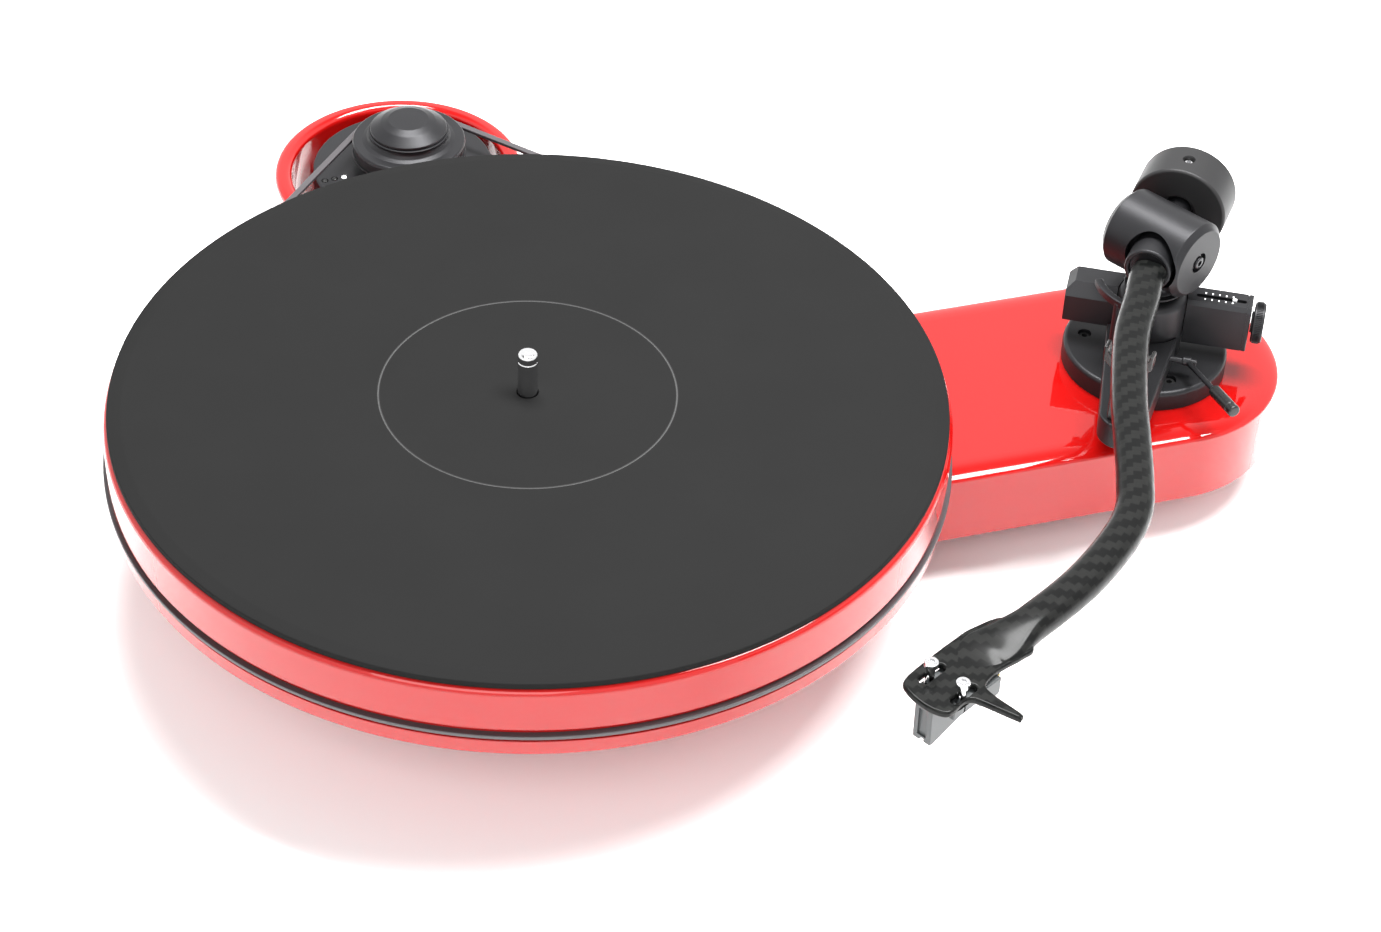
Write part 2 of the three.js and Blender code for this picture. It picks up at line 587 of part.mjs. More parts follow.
add('power_inlet', cut(
  inRear(INLET_RADIUS, 0, INLET_LENGTH + 1),
  inRear(INLET_BORE_RADIUS, 2, INLET_LENGTH + 5),
), BLACK_PLASTIC, housing);
const motorCanTop = MOTOR_TOP - MOTOR_WALL - 4;
const canBoreRadius = MOTOR_SHAFT_RADIUS + RUNNING_GAP;
const canBoreFloor = motorCanTop - 12;
add('motor_can', turned([
  [0, motorFloor], [MOTOR_CAN_RADIUS, motorFloor], [MOTOR_CAN_RADIUS, motorCanTop],
  [canBoreRadius, motorCanTop], [canBoreRadius, canBoreFloor], [0, canBoreFloor],
], 20), BRIGHT_STEEL, motor);

// ---------------------------------------------------------------- pulley

const beltStepLow = BELT_CENTRE - BELT_HEIGHT / 2 - SEAT_GAP;
const beltStepHigh = BELT_CENTRE + BELT_HEIGHT / 2 + SEAT_GAP;
const flangeTop = beltStepHigh + PULLEY_FLANGE_THICKNESS;
const pulleyTop = flangeTop + PULLEY_33_HEIGHT;
const pulleyBottom = beltStepLow - 1;
const pulleyBore = MOTOR_SHAFT_RADIUS + RUNNING_GAP;
add('motor_pulley', turned([
  [pulleyBore, pulleyBottom], [PULLEY_FLANGE_RADIUS, pulleyBottom],
  [PULLEY_FLANGE_RADIUS, beltStepLow], [PULLEY_45_RADIUS, beltStepLow],
  [PULLEY_45_RADIUS, beltStepHigh], [PULLEY_FLANGE_RADIUS, beltStepHigh],
  [PULLEY_FLANGE_RADIUS - 0.6, flangeTop], [PULLEY_33_RADIUS + 1.4, flangeTop],
  [PULLEY_33_RADIUS, flangeTop + 1.2], [PULLEY_33_RADIUS, pulleyTop], [pulleyBore, pulleyTop],
  [pulleyBore, pulleyBottom],
]), BLACK_METAL, motor);
add('pulley_cap', turned([
  [0, pulleyTop], [PULLEY_CAP_RADIUS, pulleyTop], [PULLEY_CAP_RADIUS, pulleyTop + 1],
  [PULLEY_CAP_TOP_RADIUS + 3, pulleyTop + 3.6], [PULLEY_CAP_TOP_RADIUS, pulleyTop + PULLEY_CAP_HEIGHT],
  [0, pulleyTop + PULLEY_CAP_HEIGHT],
], 28), BLACK_METAL, motor);
add('motor_shaft', rod(MOTOR_SHAFT_RADIUS, canBoreFloor + SEAT_GAP, pulleyTop), BRIGHT_STEEL, motor);

// ---------------------------------------------------------------- tonearm base

const arm = new THREE.Group();
arm.position.set(ARM_REACH, 0, 0);
player.add(arm);

const sleeveBore = PILLAR_STEM_RADIUS + RUNNING_GAP + 0.05;
const sleeveBottom = PLINTH_TOP - ARM_SLEEVE_DROP;
const screwPlaces = BASE_SCREW_ANGLES.map((angle) => [
  BASE_SCREW_CIRCLE * Math.cos(radians(angle)), BASE_SCREW_CIRCLE * Math.sin(radians(angle)),
]);
const screwDepth = 5;
const screwPocket = ([x, y]) => {
  const geometry = rod(BASE_SCREW_RADIUS + SEAT_GAP, ARM_BASE_TOP - screwDepth, ARM_BASE_TOP + 5, 16);
  geometry.translate(x, y, 0);
  return geometry;
};
add('arm_base', cut(turned([
  [ARM_SLEEVE_RADIUS, sleeveBottom], [ARM_SLEEVE_RADIUS, PLINTH_TOP], [ARM_BASE_RADIUS, PLINTH_TOP],
  [ARM_BASE_RADIUS, ARM_BASE_TOP - ARM_BASE_CHAMFER], [ARM_BASE_RADIUS - ARM_BASE_CHAMFER, ARM_BASE_TOP],
  [sleeveBore, ARM_BASE_TOP], [sleeveBore, sleeveBottom], [ARM_SLEEVE_RADIUS, sleeveBottom],
], 36), ...screwPlaces.map(screwPocket)), BLACK_METAL, arm);
screwPlaces.forEach(([x, y], k) => {
  const screw = rod(BASE_SCREW_RADIUS, ARM_BASE_TOP - screwDepth + SEAT_GAP, ARM_BASE_TOP - 1, 16);
  add(`arm_base_screw_${k + 1}`, screw, BLACK_METAL, arm).position.set(x, y, 0);
});

// ---------------------------------------------------------------- pillar and blocks

const yokeBore = YOKE_SHAFT_RADIUS + RUNNING_GAP;
const crown = 3;
const stemBottom = ARM_BASE_TOP - PILLAR_STEM_LENGTH;
add('arm_pillar', turned([
  [PILLAR_STEM_RADIUS, stemBottom], [PILLAR_STEM_RADIUS, ARM_BASE_TOP], [PILLAR_RADIUS, ARM_BASE_TOP],
  ...quarterArc(PILLAR_RADIUS - crown, PILLAR_TOP - crown, crown, 3),
  [yokeBore, PILLAR_TOP], [yokeBore, stemBottom], [PILLAR_STEM_RADIUS, stemBottom],
], 28), BLACK_METAL, arm);

const beam = new THREE.Group();
beam.rotation.z = radians(BEAM_ANGLE);
arm.add(beam);
const leftTop = ARM_BASE_TOP + LEFT_BLOCK_TOP;
const rightTop = ARM_BASE_TOP + RIGHT_BLOCK_TOP;
const pillarClear = PILLAR_RADIUS + SEAT_GAP;

// Plan of a block that starts on the pillar's side and runs out along the beam.
function blockPlan(reach, width, chamfer) {
  const side = Math.sign(reach);
  const low = BEAM_OFFSET - width / 2;
  const high = BEAM_OFFSET + width / 2;
  const from = degrees(Math.asin(high / pillarClear));
  const to = degrees(Math.asin(low / pillarClear));
  const root = arc(0, 0, pillarClear, from, to, 12).map(([x, y]) => [side * x, y]);
  return [...root, [reach - side * chamfer, low], [reach, low + chamfer], [reach, high - chamfer],
    [reach - side * chamfer, high]];
}

const leftTopCut = box(2 * LEFT_BLOCK_CHAMFER, 2 * LEFT_BLOCK_WIDTH, 2 * LEFT_BLOCK_CHAMFER);
leftTopCut.rotateY(Math.PI / 4);
leftTopCut.translate(-LEFT_BLOCK_REACH, BEAM_OFFSET, leftTop);
const leftPlan = blockPlan(-LEFT_BLOCK_REACH, LEFT_BLOCK_WIDTH, BLOCK_CORNER);
const leftBlock = plate(leftPlan, leftTop - LEFT_BLOCK_HEIGHT, leftTop);
add('support_block', cut(leftBlock, leftTopCut), BLACK_METAL, beam);

const slotBox = box(SCALE_SLOT_LENGTH, SCALE_SLOT_WIDTH, 2 * SCALE_SLOT_DEPTH);
slotBox.translate(SCALE_SLOT_START + SCALE_SLOT_LENGTH / 2, BEAM_OFFSET, rightTop);
const knobHeight = rightTop - KNOB_DROP;
const along = (geometry) => aim(geometry, 0, 0, 0, BEAM_OFFSET, knobHeight);
const rightPlan = blockPlan(RIGHT_BLOCK_REACH, RIGHT_BLOCK_WIDTH, BLOCK_CORNER);
const rightBlock = plate(rightPlan, rightTop - RIGHT_BLOCK_HEIGHT, rightTop);
add('antiskate_housing', cut(rightBlock, slotBox), BLACK_METAL, beam);
add('antiskate_pointer', box(
  POINTER_LENGTH, SCALE_SLOT_WIDTH - 2 * SEAT_GAP, SCALE_SLOT_DEPTH - SEAT_GAP + POINTER_PROUD,
), finish(0xeeeeee, 0.5, 0), beam)
  .position.set(POINTER_PLACE, BEAM_OFFSET, rightTop + (POINTER_PROUD - SCALE_SLOT_DEPTH + SEAT_GAP) / 2);
const knobStart = RIGHT_BLOCK_REACH + SEAT_GAP;
const knobFace = knobStart + KNOB_STEM_LENGTH;
const knobEnd = knobFace + KNOB_LENGTH;
add('antiskate_knob', along(turned([
  [0, knobStart], [KNOB_STEM_RADIUS, knobStart], [KNOB_STEM_RADIUS, knobFace],
  [KNOB_RADIUS - KNOB_EDGE, knobFace], [KNOB_RADIUS, knobFace + KNOB_EDGE],
  [KNOB_RADIUS, knobEnd - KNOB_EDGE], [KNOB_RADIUS - KNOB_EDGE, knobEnd], [0, knobEnd],
], 20)), BLACK_METAL, beam);

// ---------------------------------------------------------------- arm rest, lift and cue lever

const armDirection = [Math.cos(radians(ARM_LINE_ANGLE)), Math.sin(radians(ARM_LINE_ANGLE))];
const postPlace = [
  ((LIFT_OUTER + LIFT_INNER) / 2) * Math.cos(radians(LIFT_POST_ANGLE)),
  ((LIFT_OUTER + LIFT_INNER) / 2) * Math.sin(radians(LIFT_POST_ANGLE)),
];
const tubeDropAt = (distance) => (TUBE_DROP * distance) / SCREW_MIDDLE[0];
const liftTop = ARM_AXIS - TUBE_HEIGHT / 2 - tubeDropAt(LIFT_OUTER) - LIFT_CLEARANCE - LIFT_TRAVEL;
const postBottom = ARM_BASE_TOP + 2;
const tongueOutline = [
  ...arc(0, 0, pillarClear, -93, -190, 10),
  TONGUE_LEFT_ROOT,
  ...arc(...TONGUE_TIP, TONGUE_TIP_RADIUS, -206, -12, 16),
  TONGUE_RIGHT_ROOT,
];
const cueHeight = ARM_BASE_TOP + CUE_AXLE_HEIGHT;
const cueAxleEnd = (reach) => [
  CUE_AXLE_START[0] + reach * Math.cos(radians(BEAM_ANGLE)),
  CUE_AXLE_START[1] + reach * Math.sin(radians(BEAM_ANGLE)),
];
const postHole = rod(LIFT_POST_RADIUS + RUNNING_GAP, postBottom - 1, TONGUE_TOP + 5, 16);
postHole.translate(postPlace[0], postPlace[1], 0);
const axleHole = aim(rod(CUE_AXLE_RADIUS + RUNNING_GAP, -1, CUE_AXLE_LENGTH + 20, 16), BEAM_ANGLE, 0,
  ...CUE_AXLE_START, cueHeight);
const tongue = plate(tongueOutline, ARM_BASE_TOP, TONGUE_TOP);
add('arm_rest_bracket', cut(tongue, postHole, axleHole), BLACK_METAL, arm);

// The clip stands across the arm on the bracket's tip, just under the parked tube.
const restTop = ARM_AXIS - TUBE_HEIGHT / 2 - tubeDropAt(REST_DISTANCE) - REST_CLEARANCE;
const clipHeight = restTop - TONGUE_TOP;
const notchFloor = clipHeight - REST_NOTCH_DEPTH;
const notchHalf = REST_NOTCH_WIDTH / 2;
const clip = plate([
  [-REST_WIDTH / 2, 0], [REST_WIDTH / 2, 0], [REST_WIDTH / 2, clipHeight], [notchHalf, clipHeight],
  [notchHalf - REST_NOTCH_SLOPE, notchFloor], [REST_NOTCH_SLOPE - notchHalf, notchFloor],
  [-notchHalf, clipHeight], [-REST_WIDTH / 2, clipHeight],
], -REST_LENGTH / 2, REST_LENGTH / 2);
clip.rotateX(Math.PI / 2);
clip.rotateZ(radians(ARM_LINE_ANGLE + 90));
clip.translate(
  REST_DISTANCE * armDirection[0] - REST_ASIDE * armDirection[1],
  REST_DISTANCE * armDirection[1] + REST_ASIDE * armDirection[0],
  TONGUE_TOP,
);
add('arm_rest_clip', clip, BLACK_PLASTIC, arm);

const liftBar = plate([
  ...arc(0, 0, LIFT_OUTER, LIFT_START, LIFT_END, 8),
  ...arc(0, 0, LIFT_INNER, LIFT_END, LIFT_START, 8),
], liftTop - LIFT_THICKNESS, liftTop);
const liftPost = rod(LIFT_POST_RADIUS, postBottom, liftTop - 1, 16);
liftPost.translate(postPlace[0], postPlace[1], 0);
add('lift_bar', join(liftBar, liftPost), BLACK_METAL, arm);

const cueAxle = rod(CUE_AXLE_RADIUS, 0, CUE_AXLE_LENGTH, 16);
add('cue_axle', aim(cueAxle, BEAM_ANGLE, 0, ...CUE_AXLE_START, cueHeight), BLACK_METAL, arm);
const leverRoot = cueAxleEnd(CUE_LEVER_PLACE);
const onLever = (geometry) => aim(geometry, CUE_LEVER_HEADING, CUE_LEVER_RISE, ...leverRoot, cueHeight);
const leverStart = CUE_AXLE_RADIUS + CUE_LEVER_RADIUS + SEAT_GAP;
add('cue_lever', onLever(rod(CUE_LEVER_RADIUS, leverStart, CUE_LEVER_LENGTH, 12)), BLACK_METAL, arm);
const handleEnd = CUE_LEVER_LENGTH + CUE_HANDLE_LENGTH;
const handleNeck = CUE_HANDLE_RADIUS - CUE_HANDLE_EDGE;
add('cue_handle', onLever(turned([
  [0, CUE_LEVER_LENGTH], [handleNeck, CUE_LEVER_LENGTH],
  [CUE_HANDLE_RADIUS, CUE_LEVER_LENGTH + CUE_HANDLE_EDGE],
  [CUE_HANDLE_RADIUS, handleEnd - CUE_HANDLE_EDGE], [handleNeck, handleEnd], [0, handleEnd],
], 20)), BLACK_PLASTIC, arm);

// ---------------------------------------------------------------- gimbal

const alongGimbal = (geometry) => aim(geometry, GIMBAL_AXIS_ANGLE, 0, 0, 0, ARM_AXIS);
const alongArm = (geometry) => aim(geometry, ARM_LINE_ANGLE, 0, 0, 0, ARM_AXIS);
const halfGimbal = GIMBAL_LENGTH / 2;
const cavityHalf = halfGimbal - GIMBAL_END_WALL;
const gimbalFace = GIMBAL_RADIUS - GIMBAL_CHAMFER;
const gimbalBarrel = alongGimbal(turned([
  [0, -halfGimbal], [gimbalFace, -halfGimbal], [GIMBAL_RADIUS, GIMBAL_CHAMFER - halfGimbal],
  [GIMBAL_RADIUS, halfGimbal - GIMBAL_CHAMFER], [gimbalFace, halfGimbal], [0, halfGimbal],
], 28));
// The mouth runs right through along the arm and is taller than wide, to let the arm tilt.
const mouth = plate([
  ...arc(-GIMBAL_MOUTH_RISE, 0, GIMBAL_MOUTH_RADIUS, 90, 270, 20),
  ...arc(GIMBAL_MOUTH_RISE, 0, GIMBAL_MOUTH_RADIUS, -90, 90, 20),
], -2 * GIMBAL_RADIUS, 2 * GIMBAL_RADIUS);
const neckTop = ARM_AXIS - GIMBAL_RADIUS + 2.5;
const yokeFlangeTop = PILLAR_TOP + YOKE_LIFT + YOKE_FLANGE_THICKNESS;
const screwBore = PIVOT_SCREW_RADIUS + SEAT_GAP;
const screwTunnel = rod(screwBore, -halfGimbal - 5, halfGimbal + 5, 20);
add('gimbal_housing', cut(
  join(gimbalBarrel, rod(NECK_RADIUS, yokeFlangeTop, neckTop, 20)),
  alongGimbal(rod(GIMBAL_CAVITY_RADIUS, -cavityHalf, cavityHalf, 24)),
  alongArm(mouth),
  alongGimbal(screwTunnel),
), BLACK_METAL, arm);
add('yoke_shaft', turned([
  [0, yokeFlangeTop - YOKE_SHAFT_LENGTH], [YOKE_SHAFT_RADIUS, yokeFlangeTop - YOKE_SHAFT_LENGTH],
  [YOKE_SHAFT_RADIUS, PILLAR_TOP + YOKE_LIFT], [YOKE_FLANGE_RADIUS, PILLAR_TOP + YOKE_LIFT],
  [YOKE_FLANGE_RADIUS, yokeFlangeTop], [0, yokeFlangeTop],
], 20), BRIGHT_STEEL, arm);
const screwOut = halfGimbal + 0.4;
[['front', 1], ['rear', -1]].forEach(([side, sign]) => {
  const pointEnd = YOKE_BLOCK_LENGTH / 2 + SEAT_GAP;
  const profile = [
    [0, pointEnd], [PIVOT_POINT_RADIUS, pointEnd + 1.2],
    [PIVOT_SCREW_RADIUS, screwOut - PIVOT_SCREW_LENGTH + 2.6],
    [PIVOT_SCREW_RADIUS, screwOut - 0.4], [PIVOT_SCREW_RADIUS - 0.4, screwOut], [0, screwOut],
  ].map(([r, z]) => [r, sign * z]);
  add(`pivot_screw_${side}`, alongGimbal(turned(profile, 12)), BLACK_METAL, arm);
});

// ---------------------------------------------------------------- moving arm

// Everything on the arm is placed along the arm line: x from the pivot, y to the arm's
// right-hand bend, z from the arm's axis.
const armLine = new THREE.Group();
armLine.position.z = ARM_AXIS;
armLine.rotation.z = radians(ARM_LINE_ANGLE);
arm.add(armLine);
const lengthwise = (geometry) => aim(geometry, 0, 0, 0, 0, 0);

const pivotBlock = aim(rod(YOKE_BLOCK_RADIUS, -YOKE_BLOCK_LENGTH / 2, YOKE_BLOCK_LENGTH / 2, 24),
  GIMBAL_AXIS_ANGLE - ARM_LINE_ANGLE, 0, 0, 0, 0);
const collar = lengthwise(turned([
  [0, 0], [COLLAR_BACK, 0], [COLLAR_BACK, 9], [COLLAR_RADIUS, 11],
  [COLLAR_RADIUS, COLLAR_FRONT - 1], [COLLAR_RADIUS - 1, COLLAR_FRONT], [0, COLLAR_FRONT],
], 20));
const stub = lengthwise(turned([
  [0, -STUB_END], [STUB_RADIUS - 0.6, -STUB_END], [STUB_RADIUS, 0.6 - STUB_END],
  [STUB_RADIUS, -STUB_SHOULDER_END - 3], [STUB_SHOULDER_RADIUS, -STUB_SHOULDER_END + 2],
  [STUB_SHOULDER_RADIUS + 1, 0], [0, 0],
], 20));
add('arm_hub', join(pivotBlock, collar, stub), BLACK_METAL, armLine);

// The tube's section is a flat-topped rounded trapezium; its first axis points down.
const half = TUBE_WIDTH / 2;
const tall = TUBE_HEIGHT / 2;
const section = [
  [-tall, -0.42 * half], [-tall, 0.42 * half], [-0.62 * tall, 0.84 * half], [0.1 * tall, half],
  [0.72 * tall, 0.82 * half], [tall, 0.34 * half], [tall, -0.34 * half], [0.72 * tall, -0.82 * half],
  [0.1 * tall, -half], [-0.62 * tall, -0.84 * half],
];
const tubeStart = COLLAR_FRONT + SEAT_GAP;
const tubePath = new THREE.CatmullRomCurve3([[tubeStart, TUBE_LINE[0][1]], ...TUBE_LINE].map(([x, y]) =>
  new THREE.Vector3(x, y, -tubeDropAt(x))));
const tubeBody = closed(new THREE.ExtrudeGeometry(outline(section), { steps: 34, extrudePath: tubePath }));

const headshellAngle = radians(OFFSET_ANGLE);
const toArmLine = (geometry) => {
  geometry.rotateZ(headshellAngle);
  geometry.translate(SCREW_MIDDLE[0], SCREW_MIDDLE[1], HEADSHELL_BOTTOM - ARM_AXIS);
  return geometry;
};
const slotPlan = (y) => [
  ...arc(-2 - (CARTRIDGE_SLOT_LENGTH - CARTRIDGE_SLOT_WIDTH) / 2, y, CARTRIDGE_SLOT_WIDTH / 2, 90, 270, 30),
  ...arc((CARTRIDGE_SLOT_LENGTH - CARTRIDGE_SLOT_WIDTH) / 2, y, CARTRIDGE_SLOT_WIDTH / 2, -90, 90, 30),
];
const screwSides = [-CARTRIDGE_SCREW_SPACING / 2, CARTRIDGE_SCREW_SPACING / 2];
const slots = screwSides.map(slotPlan);
const shellPlate = toArmLine(plate(HEADSHELL_OUTLINE, 0, HEADSHELL_THICKNESS, { holes: slots }));
add('arm_tube', join(tubeBody, shellPlate), CARBON, armLine);

const cartridgeTop = -SEAT_GAP;
const sideProfile = [
  [CARTRIDGE_BACK, cartridgeTop], [CARTRIDGE_BACK, -CARTRIDGE_BACK_DEPTH],
  [CARTRIDGE_FRONT - 2, -CARTRIDGE_FRONT_DEPTH],
  [CARTRIDGE_FRONT, -CARTRIDGE_FRONT_DEPTH], [CARTRIDGE_FRONT, cartridgeTop],
];
function upright(points, width) {
  const geometry = plate(points, -width / 2, width / 2);
  geometry.rotateX(Math.PI / 2);
  return geometry;
}
const threadHole = (y) => {
  const geometry = rod(CARTRIDGE_SCREW_RADIUS + SEAT_GAP, -CARTRIDGE_SCREW_GRIP - SEAT_GAP, 5, 12);
  geometry.translate(0, y, 0);
  return geometry;
};
add('cartridge_body', toArmLine(cut(upright(sideProfile, CARTRIDGE_WIDTH), ...screwSides.map(threadHole))),
  GREY_PLASTIC, armLine);
const holderBack = CARTRIDGE_FRONT + SEAT_GAP;
add('stylus_holder', toArmLine(upright([
  [holderBack, cartridgeTop], [holderBack, -STYLUS_HOLDER_DEPTH],
  [holderBack + STYLUS_HOLDER_LENGTH - 1, 1 - STYLUS_HOLDER_DEPTH],
  [holderBack + STYLUS_HOLDER_LENGTH, cartridgeTop],
], STYLUS_HOLDER_WIDTH)), GREY_PLASTIC, armLine);
const cantilever = rod(CANTILEVER_RADIUS, 0, CANTILEVER_LENGTH, 8);
aim(cantilever, 180, -CANTILEVER_SLOPE, 0, 0, 0);
cantilever.rotateZ(Math.PI);
cantilever.translate(CARTRIDGE_FRONT - 5, 0, -CARTRIDGE_FRONT_DEPTH - CANTILEVER_RADIUS - SEAT_GAP);
add('cantilever', toArmLine(cantilever), BRIGHT_STEEL, armLine);
screwSides.forEach((y, k) => {
  const top = HEADSHELL_THICKNESS + CARTRIDGE_SCREW_PROUD;
  const sleeveFoot = HEADSHELL_THICKNESS + SEAT_GAP;
  const headFoot = top - CARTRIDGE_HEAD_HEIGHT;
  const screw = turned([
    [0, -CARTRIDGE_SCREW_GRIP], [CARTRIDGE_SCREW_RADIUS, -CARTRIDGE_SCREW_GRIP],
    [CARTRIDGE_SCREW_RADIUS, sleeveFoot], [CARTRIDGE_HEAD_RADIUS - 0.5, sleeveFoot],
    [CARTRIDGE_HEAD_RADIUS - 0.5, headFoot], [CARTRIDGE_HEAD_RADIUS, headFoot],
    [CARTRIDGE_HEAD_RADIUS, top - 0.4], [CARTRIDGE_HEAD_RADIUS - 0.4, top], [0, top],
  ], 16);
  screw.translate(0, y, 0);
  add(`cartridge_screw_${k + 1}`, toArmLine(screw), BRIGHT_STEEL, armLine);
});

const weightBore = STUB_RADIUS + RUNNING_GAP + 0.05;
const weightBack = WEIGHT_FRONT + WEIGHT_LENGTH;
const setScrewAt = -(WEIGHT_FRONT + WEIGHT_LENGTH / 2);
const setScrewTop = WEIGHT_RADIUS - SET_SCREW_SUNK;
const setScrewFoot = setScrewTop - SET_SCREW_LENGTH;
const setScrewHole = rod(SET_SCREW_RADIUS + SEAT_GAP, setScrewFoot - SEAT_GAP, WEIGHT_RADIUS + 5, 16);
setScrewHole.translate(setScrewAt, 0, 0);
const weightFace = WEIGHT_RADIUS - WEIGHT_EDGE;
add('counterweight', cut(lengthwise(turned([
  [weightBore, -weightBack], [weightFace, -weightBack], [WEIGHT_RADIUS, WEIGHT_EDGE - weightBack],
  [WEIGHT_RADIUS, -WEIGHT_FRONT - WEIGHT_EDGE], [weightFace, -WEIGHT_FRONT],
  [weightBore, -WEIGHT_FRONT], [weightBore, -weightBack],
])), setScrewHole), BLACK_METAL, armLine);
const setScrew = rod(SET_SCREW_RADIUS, setScrewFoot, setScrewTop, 16);
setScrew.translate(setScrewAt, 0, 0);
add('counterweight_set_screw', setScrew, BRIGHT_STEEL, armLine);

// ---------------------------------------------------------------- sockets under the arm board

const [socketWidth, socketDepth, socketHeight] = SOCKET_BOX;
const socketBox = box(...SOCKET_BOX);
socketBox.translate(ARM_REACH, SOCKET_BOX_BACK - socketDepth / 2, PLINTH_BOTTOM - socketHeight / 2);
const socketAxis = PLINTH_BOTTOM - socketHeight / 2;
// A round part that stands out of the box's rear face.
const fromRear = (profile, x) => {
  const geometry = turned(profile, 14);
  geometry.rotateX(-Math.PI / 2);
  geometry.translate(ARM_REACH + x, SOCKET_BOX_BACK, socketAxis);
  return geometry;
};
add('socket_box', socketBox, BLACK_PLASTIC);
['left', 'right'].forEach((side, k) => {
  add(`signal_socket_${side}`, fromRear([
    [0, 0], [SOCKET_RADIUS + 1, 0], [SOCKET_RADIUS + 1, 1.5], [SOCKET_RADIUS, 1.5],
    [SOCKET_RADIUS, SOCKET_LENGTH], [SOCKET_BORE, SOCKET_LENGTH], [SOCKET_BORE, 2], [0, 2],
  ], (k - 0.5) * SOCKET_SPACING - 5), BRASS);
});
add('ground_terminal', fromRear([
  [0, 0], [GROUND_RADIUS - 1, 0], [GROUND_RADIUS - 1, 2], [GROUND_RADIUS, 2],
  [GROUND_RADIUS, GROUND_LENGTH], [0, GROUND_LENGTH],
], socketWidth / 2 - 6), BRIGHT_STEEL);

// The origin is the middle of the whole object's footprint, on the shelf.
const footprint = new THREE.Box3().setFromObject(player, true).getCenter(new THREE.Vector3());
player.position.set(-footprint.x, -footprint.y, 0);

const record_player = new THREE.Group();
record_player.add(player);
export default record_player;
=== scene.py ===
"""A belt-driven record player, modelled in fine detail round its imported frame.

Shapes are worked out in millimetres and written in metres. Each piece's place is in
its own mesh, and takes its heights and centres from the frame's nodes.
"""
import json
import math

import bmesh
import bpy
from mathutils import Matrix, Vector
from mathutils.geometry import tessellate_polygon


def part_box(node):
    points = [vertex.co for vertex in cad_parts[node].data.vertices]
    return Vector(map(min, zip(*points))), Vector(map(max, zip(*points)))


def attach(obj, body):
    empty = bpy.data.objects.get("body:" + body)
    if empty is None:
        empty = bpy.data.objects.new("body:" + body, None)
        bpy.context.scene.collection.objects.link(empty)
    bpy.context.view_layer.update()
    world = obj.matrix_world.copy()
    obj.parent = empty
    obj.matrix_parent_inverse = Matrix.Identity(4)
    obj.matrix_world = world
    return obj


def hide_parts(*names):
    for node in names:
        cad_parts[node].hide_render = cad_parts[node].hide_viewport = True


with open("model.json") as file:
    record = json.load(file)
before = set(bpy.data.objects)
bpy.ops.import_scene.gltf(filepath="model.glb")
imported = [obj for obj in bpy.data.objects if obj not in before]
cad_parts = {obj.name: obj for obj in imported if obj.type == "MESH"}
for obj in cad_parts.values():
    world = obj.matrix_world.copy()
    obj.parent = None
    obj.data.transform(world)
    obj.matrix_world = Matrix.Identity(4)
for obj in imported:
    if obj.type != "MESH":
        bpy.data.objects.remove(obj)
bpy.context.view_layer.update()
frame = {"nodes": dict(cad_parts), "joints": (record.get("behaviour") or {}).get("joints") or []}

MM = 0.001

# ------------------------------------------------------------------ sizes, in millimetres

GAP = 0.3  # between a piece and the pocket that holds it

BOARD_HALF = 49.3
BOARD_SHIFT = 2.3  # the board's end and middle line, outwards and back from the pivot
BOARD_CROWN = 3.2  # how much wider than high the board's edge rounding is
HUB_DISC_RADIUS = 95
BOARD_FILLET = 30
RING_SHIFT = -2.2  # the motor ring's centre, left of the spindle
RING_BACK = 1.2  # and behind the motor's shaft
RING_OUTER = 50
RING_INNER = 43
NECK_FILLET = 60
PLINTH_ROUNDING = 2.8
FOOT_RADIUS = 18
FOOT_WAIST = 17.2
FOOT_PAD_RADIUS = 13

PLATTER_RADIUS = 150
PLATTER_ROUNDING = 2.6
GROOVE_DEPTH = 1.2
GROOVE_HEIGHT = 5
MAT_RADIUS = 148.5
MAT_BEVEL = 5
MAT_BEVEL_DROP = 0.8
LABEL_RADIUS = 52.8
SPINDLE_RADIUS = 3.6
BEARING_SHAFT_RADIUS = 5
BEARING_RADIUS = 11
BEARING_FLANGE_RADIUS = 22
HUB_FLANGE_RADIUS = 28
HUB_FLANGE_THICKNESS = 4
BELT_THICKNESS = 1.5
BELT_HEIGHT = 2.6
BELT_STEP = 4.2  # the pulley's step for it

HOUSING_RADIUS = 36.2
HOUSING_WALL = 2.5
LAMP_RADIUS = 1.1
BUTTON_RADIUS = 4
INLET_RADIUS = 4.5
MOTOR_SHAFT_RADIUS = 1.5
SHAFT_BORE = 1.65
LARGE_STEP_RADIUS = 21.9
SMALL_STEP_RADIUS = 16.4
STEP_FLANGE_RADIUS = 22.8
CAP_RADIUS = 15.3
CAP_TOP_RADIUS = 8

ARM_BASE_RADIUS = 30.2
SLEEVE_RADIUS = 15
PILLAR_RADIUS = 12.5
PILLAR_BORE = 4.15
STEM_RADIUS = 9.8
BEAM_ANGLE = -29.5
BEAM_OFFSET = 3.7
LEFT_REACH = 31.5
LEFT_WIDTH = 13.6
RIGHT_REACH = 36.2
RIGHT_WIDTH = 10
SEAM_WIDTH = 0.35
SEAM_DEPTH = 0.3
SEAM_CUTTER = 60
SLOT_START = 15.5
SLOT_LENGTH = 18.5
SLOT_WIDTH = 1.8
KNOB_RADIUS = 7.8
KNOB_NECK = 0.7
KNOB_LENGTH = 4
TICK_SPACING = 2.5

TONGUE_TIP = (-29.8, -48)
TONGUE_TIP_RADIUS = 8.8
REST_DISTANCE = 59
REST_ASIDE = 6
LIFT_OUTER = 22.3
LIFT_INNER = 19.6
CUE_START = (-2.4, -16.6)
CUE_LEVER_PLACE = 10
CUE_HEADING = -84
CUE_RISE = 3

